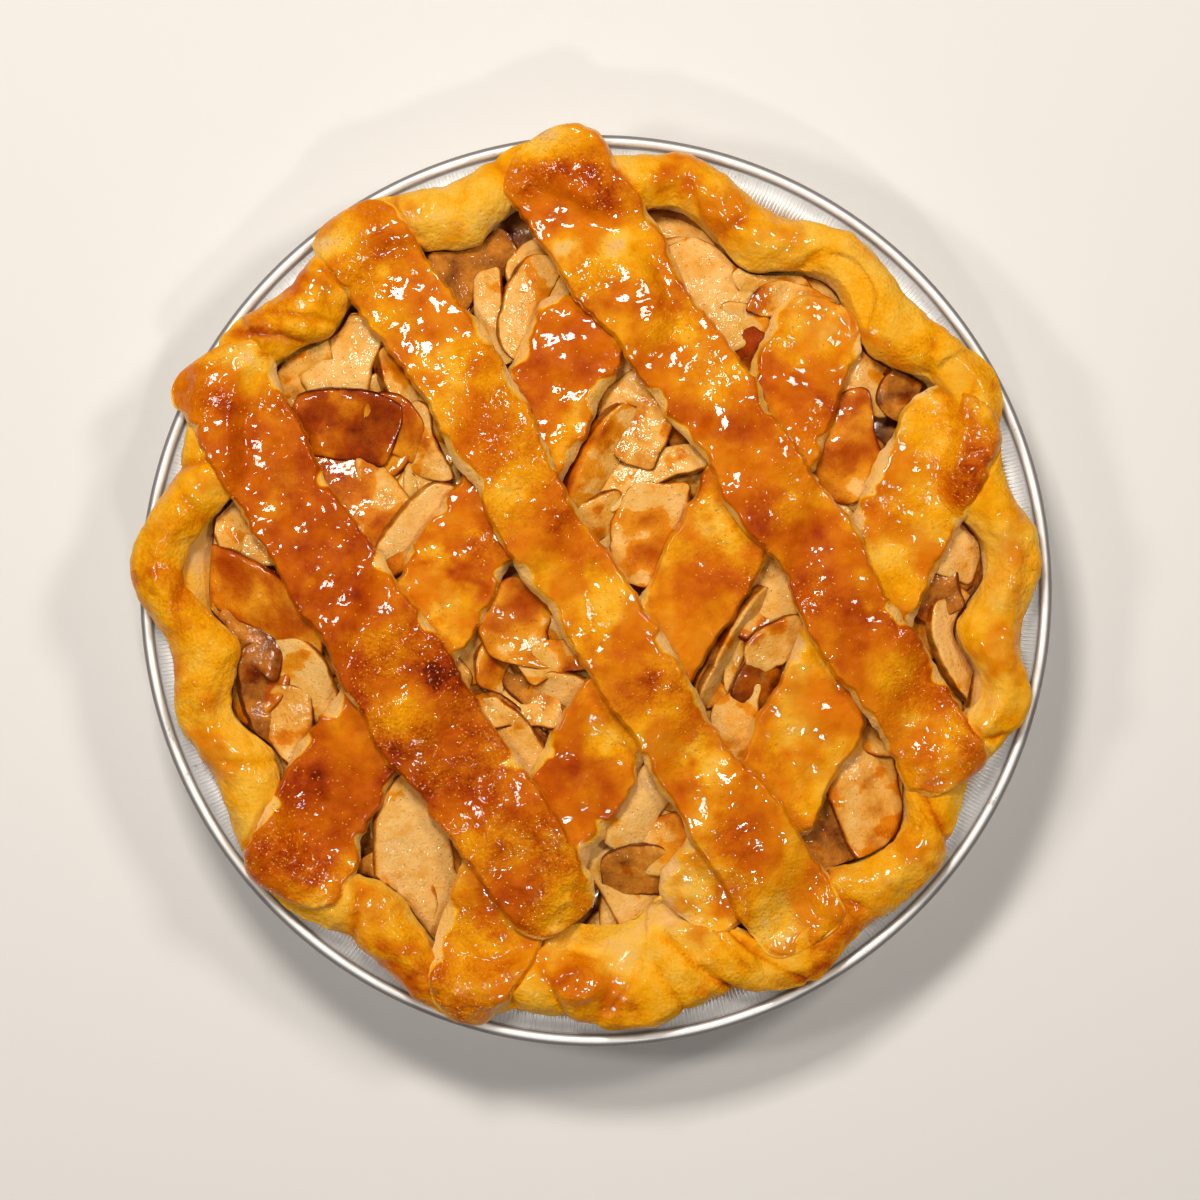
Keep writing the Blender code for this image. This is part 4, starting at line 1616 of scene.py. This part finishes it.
@dataclass
class LatticeStrip:
    """One pastry strip with soft edges, blisters and a wavy glaze."""

    plan: StripPlan
    lattice: Lattice
    material: bpy.types.Material
    step: float = 0.6
    top_points: int = 50
    under_points: int = 12
    end_corner: float = 7.0
    edge_wave: float = 15.0
    tear_size: float = 2.6
    tear_depth: float = 0.55
    least_bevel: float = 1.0
    most_bevel: float = 4.2
    drape: float = 3.6
    melt_reach: float = 17.0
    rim_bake: float = 0.36

    def section(self) -> Array:
        """Loop of the section.

        Returns:
            Rows of the share of the half width, and 1 above or 0 below.
        """
        top = np.sin(np.linspace(-0.5, 0.5, self.top_points) * math.pi)
        under = np.linspace(0.93, -0.93, self.under_points)
        return np.vstack([np.column_stack([top, 0.0 * top + 1.0]), np.column_stack([under, 0.0 * under])])

    def half_widths(self, line: Array, grain: Grain, melt: Array, rounding: Array) -> list[Array]:
        """Half widths on the left and on the right along the strip, with waves and small tears.

        Args:
            line: Rows of x, y and width along the strip.
            grain: Noise of the strip.
            melt: How far the strip has melted into the rim, by row.
            rounding: Rounding of the ends, by row.

        Returns:
            Half widths on the left and on the right.
        """
        least = 0.45 - 0.15 * melt
        narrowing = least + (1.0 - least) * rounding
        widths = []
        for wave_layer, tear_layer in ((40.0, 75.0), (80.0, 125.0)):
            at_wave = np.column_stack([line[:, :2], np.full(len(line), wave_layer)])
            at_tear = np.column_stack([line[:, :2], np.full(len(line), tear_layer)])
            wave = (1.7 + 0.8 * melt) * grain.layers(at_wave, self.edge_wave, 3, 0.45)
            tear = self.tear_depth * grain.wave(at_tear, self.tear_size)
            widths.append((0.5 * line[:, 2] + wave + tear) * narrowing)
        return widths

    def surface(self, line: Array, loop: Array, grain: Grain) -> StripSurface:
        """Lay the section along the strip's route.

        Args:
            line: Rows of x, y and width along the strip.
            loop: The section.
            grain: Noise of the strip.

        Returns:
            The points, with what depends on their place in the strip.
        """
        along = np.gradient(line[:, :2], axis=0)
        along /= np.linalg.norm(along, axis=1)[:, None]
        travel = np.arange(len(line)) * self.step
        left_over = travel[-1] - travel
        first, last = (
            share * ease(1.0 - way / self.melt_reach)
            for share, way in zip(self.plan.melt, (travel, left_over))
        )
        melt = np.maximum(first, last)
        from_end = np.minimum(travel, left_over) / (self.end_corner + 5.0 * melt)
        rounding = np.sqrt(np.clip(1.0 - (1.0 - np.clip(from_end, 0.0, 1.0)) ** 2.4, 0.0, 1.0))
        left, right = self.half_widths(line, grain, melt, rounding)
        half = np.where(loop[:, 0] < 0.0, left[:, None], right[:, None])
        offset = half * loop[None, :, 0]
        share = np.tile(loop[:, 0], len(line))
        return StripSurface(
            x=(line[:, :1] + along[:, 1:] * offset).reshape(-1),
            y=(line[:, 1:2] - along[:, :1] * offset).reshape(-1),
            inside=half.reshape(-1) * (1.0 - np.abs(share)),
            side=np.tile(loop[:, 1], len(line)),
            melted=np.repeat(melt, len(loop)),
            rounded=np.repeat(rounding, len(loop)),
        )

    def build(self) -> bpy.types.Object:
        """Make the strip and put it in place of its node.

        Returns:
            The piece.
        """
        plan = self.plan
        grain = Grain(plan.seed)
        line = self.lattice.smooth_route(plan, self.step)
        loop = self.section()
        shape = (len(line), len(loop))
        at = self.surface(line, loop, grain)
        spot = np.column_stack([at.x, at.y, np.full(len(at.x), 3.0 * plan.seed)])
        rest = self.lattice.rest(plan, at.x, at.y).reshape(shape)
        rest = blur_rows(rest, self.drape / self.step).reshape(-1)
        dryness = -0.3 if plan.layer is Layer.LONG else 0.05
        cut = np.clip(2.0 * grain.layers(spot + 11.0, 14.0, 2) + dryness, 0.0, 1.0)
        bevel = self.least_bevel + (self.most_bevel - self.least_bevel) * cut + 1.6 * at.melted
        level = at.side * (0.28 + 0.72 * (1.0 - (1.0 - np.clip(at.inside / bevel, 0.0, 1.0)) ** 1.7))
        bake = plan.browning + 0.14 * grain.layers(spot + 5.0, 15.0, 2)
        bake = bake * (1.0 - at.melted) + (self.rim_bake + 0.12 * grain.wave(spot, 14.0)) * at.melted
        marks = {
            "bake": bake,
            "glaze": plan.glazing + 0.45 * grain.layers(spot + 71.0, 13.0, 2),
            "rough": 0.15 + 0.45 * np.maximum(grain.wave(spot + 91.0, 17.0), 0.0),
        }
        add_patches(marks, plan.patches, spot, grain)
        rough = np.clip(marks["rough"], 0.0, 1.0)
        relief = 0.7 * grain.layers(spot, 19.0, 2) + 0.5 * grain.wave(spot + 31.0, 8.0)
        relief += 0.32 * grain.wave(spot + 63.0, 4.6) + (0.1 + 0.32 * rough) * grain.wave(spot + 7.0, 2.1)
        end_fall = (0.35 + 0.65 * at.rounded) * (1.0 - 0.45 * at.melted)
        z = rest + self.lattice.thickness(at.x, at.y) * level * end_fall
        z += relief * between(level, 0.25, 0.9) * (1.0 + 1.3 * at.melted)
        bare = (bevel - 1.1) * (0.95 + 0.4 * grain.wave(spot + 47.0, 4.0)) * (1.0 - at.melted)
        covered = between(at.inside - bare, -0.5, 0.6) * between(level, 0.05, 0.2)
        marks["bake"] = np.clip(marks["bake"] * (0.1 + 0.9 * covered), 0.0, 1.0)
        marks["glaze"] = np.clip(marks["glaze"], 0.0, 1.0) * covered
        marks["rough"] = rough
        parts = MeshParts()
        parts.add_tube(np.column_stack([at.x, at.y, z]).reshape(*shape, 3), marks)
        piece = parts.build("pastry_" + plan.node, self.material)
        place(piece, plan.layer.slot, plan.node)
        return piece


# The filling


class Look(Enum):
    """How a slice of apple looks: its tone and how much caramel covers it. The clear and brown tones are
    partly soft see-through apple and partly painted shade for slices in deep, shaded places.
    """

    PALE = (0.1, 0.08)
    STRAW = (0.24, 0.22)
    GOLDEN = (0.28, 0.56)
    HONEY = (0.16, 0.84)
    AMBER = (0.5, 0.92)
    # Darker tone: see-through apple, and painted shade in deep places by the rim.
    CLEAR = (0.68, 0.16)
    # Darkest tone: browned apple, and painted shade in dark gaps.
    BROWN = (0.8, 0.4)


@dataclass(frozen=True)
class SlicePlan:
    """One slice that shows: place, size, bearing of its long side, lean about it, lift and look."""

    x: float
    y: float
    length: float
    width: float
    bearing: float
    lean: float
    lift: float
    look: Look = Look.STRAW


SLICES = table(
    SlicePlan,
    (-80, 60, 17, 16, 20, 6, 0.4, Look.STRAW), (-68, 63, 20, 15, 72, -6, 0.6, Look.PALE),
    (-52, 56, 18, 8, 118, 20, 0.4, Look.STRAW), (-68, 44, 26, 15, -6, 6, 2.4, Look.AMBER),
    (-54, 45, 15, 11, -30, 6, 2.6, Look.HONEY), (-47, 40, 19, 9, 112, -18, 1.4, Look.STRAW),
    (-62, 22, 34, 16, -54, -8, 0.8, Look.GOLDEN), (-48, 17, 24, 9, 54, 14, 1.2, Look.PALE),
    (-34, 88, 22, 15, 40, 6, 0.8, Look.CLEAR), (-27, 73, 22, 7, 101, -16, 0.8, Look.PALE),
    (-18, 76, 25, 11, 76, 10, 0.8, Look.STRAW), (12, 47, 22, 17, 60, -8, 0.8, Look.STRAW),
    (1, 34, 30, 10, 65, 18, 2.0, Look.GOLDEN), (15, 31, 28, 8, 22, -16, 1.2, Look.PALE),
    (2, 20, 14, 9, 30, 10, 0.4, Look.STRAW), (14, 15, 24, 15, 84, -8, 2.2, Look.GOLDEN),
    (-20, -8, 20, 17, 78, 4, 2.0, Look.HONEY), (-12, -19, 14, 8, 18, -8, 1.8, Look.GOLDEN),
    (-27, -19, 13, 8, 70, 8, 1.2, Look.GOLDEN), (-21, -32, 20, 9, 2, -18, 0.8, Look.STRAW),
    (-8, -28, 16, 9, -20, 10, 0.2, Look.STRAW), (-24, -42, 26, 13, -52, 10, 0.4, Look.PALE),
    (32, 80, 29, 14, -50, -8, 1.0, Look.PALE), (47, 83, 15, 9, 10, 8, 0.4, Look.STRAW),
    (56, 74, 24, 10, -25, -8, 1.6, Look.STRAW), (73, 58, 17, 12, 80, 8, 0.2, Look.STRAW),
    (81, 53, 11, 8, 60, 4, 0.0, Look.CLEAR), (67, 38, 24, 15, 104, -8, 1.8, Look.HONEY),
    (98, 14, 19, 11, 70, 10, 0.4, Look.PALE), (91, 1, 15, 11, 100, -6, 0.0, Look.CLEAR),
    (97, -17, 26, 8, 114, 16, 0.8, Look.PALE), (48, 0, 18, 11, 96, -12, 0.4, Look.STRAW),
    (50, -14, 19, 10, 20, 8, 1.4, Look.STRAW), (43, -25, 11, 9, 60, 6, 0.2, Look.BROWN),
    (36, -14, 30, 6, 63, 30, 1.2, Look.STRAW), (31, -17, 26, 6, 64, 34, 0.6, Look.CLEAR),
    (39, -37, 18, 12, 100, -6, 0.6, Look.STRAW), (75, -56, 36, 17, 108, 6, 1.0, Look.STRAW),
    (64, -68, 19, 14, 10, -8, -0.4, Look.CLEAR), (12, -57, 24, 13, 60, 8, 1.0, Look.PALE),
    (22, -68, 16, 14, 70, -12, 1.0, Look.GOLDEN), (12, -75, 18, 11, 2, 8, 0.4, Look.CLEAR),
    (34, -83, 16, 10, 20, 4, 0.0, Look.CLEAR), (-48, -73, 42, 16, 97, 6, 0.8, Look.PALE),
    (-58, -77, 12, 9, 120, -8, 0.0, Look.CLEAR), (-98, 19, 14, 8, 110, 8, 0.2, Look.PALE),
    (-94, 10, 16, 7, 6, -10, 0.2, Look.STRAW), (-92, -3, 36, 14, -29, 8, 1.6, Look.HONEY),
    (-93, -14, 18, 9, -34, -8, 0.2, Look.BROWN), (-78, -24, 20, 11, -70, 8, 1.2, Look.PALE),
    (-90, -28, 24, 8, 106, 12, 0.0, Look.CLEAR), (40, 64, 18, 11, -50, 0, 0.0, Look.AMBER),
    (38, 72, 14, 8, -20, 6, 0.2, Look.GOLDEN), (-82, -36, 18, 10, 96, -10, 0.6, Look.STRAW),
)


@dataclass
class AppleFilling:
    """Heap of apple slices over a core of juice and soft apple."""

    shape: PieShape
    lattice: Lattice
    apple: AppleFinish
    juice: JuiceFinish
    core_drop: float = 7.5
    slice_drop: float = 4.2
    under_drop: float = 6.4
    middle_rise: float = 1.9
    thickness: float = 5.0
    stretch: float = 1.2
    widen: float = 1.32
    squareness: float = 0.42
    flatness: float = 0.4
    shown_grid: tuple[int, int] = (34, 32)
    hidden_grid: tuple[int, int] = (22, 22)
    hidden_slices: int = 180
    hidden_reach: float = 98.0
    widest: float = 104.0
    core_sides: int = 360
    core_lip: float = 104.6

    def outline(self, plan: SlicePlan, seed: int, rows: int, columns: int) -> Array:
        """Surface of one slice lying flat at the origin.

        Args:
            plan: The slice.
            seed: Number that fixes its cut and small irregularities.
            rows: Rows along the slice.
            columns: Points round its section.

        Returns:
            Points by row and column.
        """
        rng = np.random.default_rng(9000 + seed)
        blunt, bulge, shear = rng.uniform(7.0, 26.0), rng.uniform(1.8, 3.4), rng.uniform(-0.45, 0.45)
        taper = rng.uniform(0.06, 0.28)
        hollow, curl, pitch = rng.uniform(-0.05, 0.14), rng.uniform(-1.0, 0.5), rng.uniform(-0.09, 0.09)
        t = np.sin(np.linspace(-0.5, 0.5, rows) * math.pi)[:, None]
        turn = np.arange(columns)[None, :] * (2.0 * math.pi / columns)
        across = np.sign(np.cos(turn)) * np.abs(np.cos(turn)) ** self.squareness
        upward = np.sign(np.sin(turn)) * np.abs(np.sin(turn)) ** self.flatness
        ends = np.clip(1.0 - np.abs(t) ** blunt, 0.0, 1.0) ** 0.5
        length, width = self.stretch * plan.length, self.widen * plan.width
        outer = width * (0.5 - taper * np.abs(t) ** bulge)
        inner = width * (hollow * (1.0 - t**2) - 0.5)
        local = np.empty((rows, columns, 3))
        local[..., 0] = 0.5 * length * t
        local[..., 1] = 0.5 * (outer + inner) + 0.5 * (outer - inner) * ends * across
        local[..., 1] += 0.05 * length * (0.5 - t**2)
        local[..., 0] += shear * local[..., 1]
        local[..., 2] = 0.5 * self.thickness * upward * (0.68 + 0.32 * across) * (0.7 + 0.3 * ends)
        local[..., 2] += 0.05 * length * curl * (t**2 - 0.3) + math.tan(pitch) * local[..., 0]
        grain = Grain(1000 + seed)
        spot = local.reshape(-1, 3) + 50.0
        raised = 0.8 * grain.wave(spot, 9.0) + 0.26 * grain.wave(spot, 3.0)
        frayed = 0.55 * grain.wave(spot + 20.0, 8.0) + 0.35 * grain.wave(spot + 20.0, 2.6)
        drawn = 0.8 * grain.wave(spot + 40.0, 7.0)
        local[..., 2] += raised.reshape(rows, columns) * ends
        local[..., 1] += frayed.reshape(rows, columns) * ends
        local[..., 0] += drawn.reshape(rows, columns)
        return local

    def rim_of_slice(self, rows: int, columns: int) -> Array:
        """Share from 0 on the faces of a slice to 1 on its narrow sides.

        Args:
            rows: Rows along the slice.
            columns: Points round its section.

        Returns:
            One share for each point.
        """
        turn = np.arange(columns)[None, :] * (2.0 * math.pi / columns)
        t = np.sin(np.linspace(-0.5, 0.5, rows) * math.pi)[:, None]
        sides = between(np.abs(np.cos(turn)) ** self.squareness, 0.9, 1.0)
        return np.maximum(sides, between(np.abs(t), 0.95, 1.0))

    def slice_grid(
        self, plan: SlicePlan, seed: int, drop: float, size: tuple[int, int]
    ) -> tuple[Array, dict[str, Array]]:
        """Surface of one slice in its place.

        Args:
            plan: The slice.
            seed: Number that fixes its cut and small irregularities.
            drop: How far its middle lies below the dome.
            size: Rows along the slice and points round its section.

        Returns:
            Points by row and column, and its attribute values.
        """
        local = self.outline(plan, seed, *size)
        roll, angle = math.radians(1.5 * plan.lean), math.radians(plan.bearing)
        flat = local[..., 1] * math.cos(roll) - local[..., 2] * math.sin(roll)
        up = local[..., 1] * math.sin(roll) + local[..., 2] * math.cos(roll)
        x = plan.x + local[..., 0] * math.cos(angle) - flat * math.sin(angle)
        y = plan.y + local[..., 0] * math.sin(angle) + flat * math.cos(angle)
        z = self.shape.dome(x, y) - drop + self.middle_rise + plan.lift + up
        most = np.minimum(self.shape.rim_inner(np.degrees(np.arctan2(y, x))), self.widest) - 0.4
        shrink = np.minimum(1.0, most / np.hypot(x, y))
        x, y = x * shrink, y * shrink
        z = np.minimum(z, self.lattice.ceiling(x.reshape(-1), y.reshape(-1)).reshape(size))
        tone, cover = plan.look.value
        spots = np.column_stack([x.reshape(-1), y.reshape(-1), np.full(x.size, 7.0 * seed)])
        patchy = Grain(2000 + seed).layers(spots, 11.0, 3).reshape(size)
        rim = self.rim_of_slice(*size)
        marks = {
            "tone": np.clip(tone + 0.2 * patchy + 0.07 * math.sin(2.4 * seed), 0.0, 1.0),
            "glaze": np.clip(cover + 0.6 * patchy + 0.12 * rim, 0.0, 1.3),
            "edge": np.clip(rim, 0.0, 1.0) * np.ones_like(x),
        }
        return np.stack([x, y, z], axis=-1), marks

    def hidden_slice(self, rng: np.random.Generator) -> SlicePlan:
        """Draw one of the slices that lie under those that show.

        Args:
            rng: Source of the draws.

        Returns:
            The slice.
        """
        looks = (Look.PALE, Look.STRAW, Look.GOLDEN, Look.CLEAR, Look.STRAW)
        radius = self.hidden_reach * math.sqrt(rng.random())
        angle = rng.random() * 2.0 * math.pi
        return SlicePlan(
            x=radius * math.cos(angle),
            y=radius * math.sin(angle),
            length=rng.uniform(24.0, 38.0),
            width=rng.uniform(11.0, 18.0),
            bearing=rng.uniform(0.0, 360.0),
            lean=rng.uniform(-11.0, 11.0),
            lift=rng.uniform(-1.2, 0.4),
            look=looks[int(rng.integers(len(looks)))],
        )

    def build_core(self) -> None:
        """Make the juice and soft apple under the slices."""
        turns = np.arange(self.core_sides) * (2.0 * math.pi / self.core_sides)
        level = np.ones(self.core_sides)
        lip = np.minimum(self.shape.rim_inner(np.degrees(turns)) + 0.4, self.core_lip) - 0.5
        rows = [(84.5 * level, 6.2 * level), (lip, 29.0 * level)]
        grain = Grain(77)
        for radius in np.linspace(96.0, 2.0, 60):
            reach = np.minimum(radius, lip - 1.0)
            x, y = reach * np.cos(turns), reach * np.sin(turns)
            spot = np.column_stack([x, y, 0.0 * level])
            rows.append((reach, self.shape.dome(x, y) - self.core_drop + 1.4 * grain.layers(spot, 12.0, 3)))
        section = np.array(rows)
        parts = MeshParts()
        parts.add_tube(turned(section[:, 0], section[:, 1], turns), {})
        place(parts.build("filling_juice", self.juice.material()), "apple", "filling")

    def build(self) -> bpy.types.Object:
        """Make the core and the slices in place of the filling's node.

        Returns:
            The slices that show, for spice to lie on.
        """
        self.build_core()
        material = self.apple.material()
        shown = MeshParts()
        for seed, plan in enumerate(SLICES):
            shown.add_tube(*self.slice_grid(plan, seed, self.slice_drop, self.shown_grid))
        top = shown.build("apple_slices", material)
        place(top, "apple", "filling")
        rng = np.random.default_rng(404)
        under = MeshParts()
        for number in range(self.hidden_slices):
            plan = self.hidden_slice(rng)
            under.add_tube(*self.slice_grid(plan, 300 + number, self.under_drop, self.hidden_grid))
        place(under.build("apple_slices_under", material), "apple", "filling")
        return top


# Spice and drops


@dataclass
class Sprinkling:
    """Small grains strewn over the upper faces of pieces by geometry nodes."""

    name: str
    finish: GrainFinish
    slot: str
    density: float
    radius: float
    flatness: tuple[float, float] = (0.2, 0.5)
    mark: str = ""
    seed: int = 3
    steepest: float = 0.4

    def tree(self) -> bpy.types.NodeTree:
        """Nodes that strew small grains over the upper faces.

        Returns:
            The node tree, with named inputs for its sizes.
        """
        made = ShapeTree(self.name, {"Density": "Float", "Grain": "Float", "Seed": "Int"})
        given = made.given
        parts = made.step("ShaderNodeSeparateXYZ", Vector=made.node("GeometryNodeInputNormal"))
        upward = made.node("FunctionNodeCompare", data_type="FLOAT", operation="GREATER_THAN")
        made.feed(upward.inputs[0], parts.outputs["Z"])
        made.feed(upward.inputs[1], self.steepest)
        density = given["Density"]
        if self.mark:
            marked = made.node("GeometryNodeInputNamedAttribute", data_type="FLOAT")
            made.feed(marked.inputs["Name"], self.mark)
            density = made.math("MULTIPLY", marked.outputs["Attribute"], density)
        scatter = made.step(
            "GeometryNodeDistributePointsOnFaces",
            Mesh=given["Geometry"],
            Selection=upward,
            Density=density,
            Seed=given["Seed"],
        )
        grain = made.step("GeometryNodeMeshIcoSphere", Subdivisions=1, Radius=given["Grain"])
        low, high = self.flatness
        scale = made.random_scale((0.4, 0.4, low), (1.2, 1.0, high), given["Seed"])
        grains = made.spread(scatter.outputs["Points"], grain, scatter.outputs["Rotation"], scale)
        return made.finished(grains)

    def build(self, bases: Sequence[bpy.types.Object]) -> None:
        """Strew the grains.

        Args:
            bases: Pieces that the grains lie on.
        """
        tree = self.tree()
        finish = self.finish.material()
        work = bmesh.new()
        for number, base in enumerate(bases):
            grains = bpy.data.objects.new("grains", base.data.copy())
            bpy.context.scene.collection.objects.link(grains)
            values = {
                "Density": self.density,
                "Grain": self.radius * MM,
                "Seed": self.seed + number,
                "Finish": finish,
            }
            run_nodes(grains, tree, values)
            work.from_mesh(grains.data)
            spent = grains.data
            bpy.data.objects.remove(grains)
            bpy.data.meshes.remove(spent)
        mesh = bpy.data.meshes.new(self.name)
        work.to_mesh(mesh)
        work.free()
        mesh.shade_smooth()
        mesh.materials.clear()
        mesh.materials.append(finish)
        piece = bpy.data.objects.new(self.name, mesh)
        bpy.context.scene.collection.objects.link(piece)
        place(piece, self.slot)


# The studio


@dataclass(frozen=True)
class Lamp:
    """A soft lamp that points at the pie: its place and size in metres, its power in watts and its tint."""

    name: str
    position: tuple[float, float, float]
    size: tuple[float, float]
    power: float
    tint: tuple[float, float, float]

    def build(self) -> None:
        """Add the lamp to the scene."""
        data = bpy.data.lights.new(self.name, "AREA")
        data.shape = "RECTANGLE"
        data.size, data.size_y = self.size
        data.energy = self.power
        data.color = self.tint
        lamp = bpy.data.objects.new(self.name, data)
        lamp.location = self.position
        way = Vector((0.0, 0.0, 0.03)) - Vector(self.position)
        lamp.rotation_euler = way.to_track_quat("-Z", "Y").to_euler()
        bpy.context.scene.collection.objects.link(lamp)


@dataclass
class Studio:
    """Pale floor, soft light from the far side and a camera straight overhead."""

    view_centre: tuple[float, float] = (1.08, -2.49)
    view_width: float = 322.5
    flange_height: float = 30.5
    camera_height: float = 1500.0
    sensor: float = 36.0
    floor_size: float = 4.0
    floor_colour: tuple = linear(232, 228, 224)
    sky_colour: tuple = (1.0, 0.95, 0.87, 1.0)
    sky_strength: tuple[float, float] = (0.03, 0.085)
    lamps: tuple[Lamp, ...] = (
        Lamp("key", (-0.2, 0.55, 1.0), (0.24, 0.19), 7.9, (1.0, 0.95, 0.88)),
        Lamp("side", (0.5, 0.3, 0.9), (0.15, 0.18), 3.0, (1.0, 0.96, 0.9)),
        Lamp("back", (-0.6, 0.05, 0.9), (0.12, 0.16), 2.2, (1.0, 0.97, 0.93)),
        Lamp("fill", (0.1, -0.6, 1.1), (0.1, 0.08), 1.8, (1.0, 0.98, 0.96)),
    )

    def floor(self) -> None:
        """Make the floor."""
        bpy.ops.mesh.primitive_plane_add(size=self.floor_size, location=(0.0, 0.0, -0.0002))
        floor = bpy.context.active_object
        floor.name = "studio_floor"
        made = Shading("studio_floor")
        made.constant(Base_Color=self.floor_colour, Roughness=0.7)
        floor.data.materials.append(made.material)

    def camera(self) -> None:
        """Set the camera straight above the pie, with the top of the view at +Y."""
        data = bpy.data.cameras.new("camera")
        data.sensor_width = self.sensor
        data.lens = self.sensor * self.camera_height / self.view_width
        data.clip_end = 10.0
        camera = bpy.data.objects.new("camera", data)
        x, y = self.view_centre
        camera.location = (x * MM, y * MM, (self.flange_height + self.camera_height) * MM)
        bpy.context.scene.collection.objects.link(camera)
        bpy.context.scene.camera = camera

    def sky(self) -> None:
        """Set the soft light round the pie: bright overhead and darker towards the floor."""
        world = bpy.data.worlds.new("studio")
        world.use_nodes = True
        sheet = NodeSheet(world.node_tree)
        background = sheet.tree.nodes["Background"]
        background.inputs["Color"].default_value = self.sky_colour
        where = sheet.node("ShaderNodeTexCoord").outputs["Generated"]
        parts = sheet.step("ShaderNodeSeparateXYZ", Vector=where)
        fall = sheet.node("ShaderNodeMapRange")
        low, high = self.sky_strength
        for name, value in (("From Min", 0.0), ("From Max", 1.0), ("To Min", low), ("To Max", high)):
            fall.inputs[name].default_value = value
        sheet.join(parts.outputs["Z"], fall.inputs["Value"])
        sheet.join(fall.outputs["Result"], background.inputs["Strength"])
        bpy.context.scene.world = world

    def build(self) -> None:
        """Set up the whole studio."""
        self.floor()
        self.camera()
        self.sky()
        for lamp in self.lamps:
            lamp.build()
        bpy.context.scene.view_settings.view_transform = "Standard"


def main() -> None:
    """Build the whole pie and its studio."""
    logging.basicConfig(level=logging.INFO, format="%(name)s: %(message)s")
    Studio().build()
    shape = PieShape()
    lattice = Lattice(shape)
    FoilTin(FoilFinish("bright_foil")).build()
    PieCrust(shape, lattice, PastryFinish("rim_pastry")).build()
    pastry = {layer: PastryFinish(layer.slot).material() for layer in Layer}
    strips = [LatticeStrip(plan, lattice, pastry[plan.layer]).build() for plan in STRIPS]
    apple = AppleFilling(shape, lattice, AppleFinish("baked_apple"), JuiceFinish("caramel_juice")).build()
    spice = GrainFinish("ground_cinnamon", linear(120, 64, 24), linear(176, 100, 40), 0.6)
    Sprinkling("cinnamon", spice, "apple", 70000.0, 0.2).build([apple])
    # The drops are coloured lighter than the glaze they lie on so that they read as glints: painted highlight
    # on real drops.
    drop = GrainFinish("glaze_drop_painted_glint", linear(226, 130, 30), linear(240, 164, 56), 0.06)
    Sprinkling("glaze_bubbles", drop, Layer.LONG.slot, 360000.0, 0.36, (0.3, 0.6), "rough").build(strips)


if __name__ == "__main__":
    main()
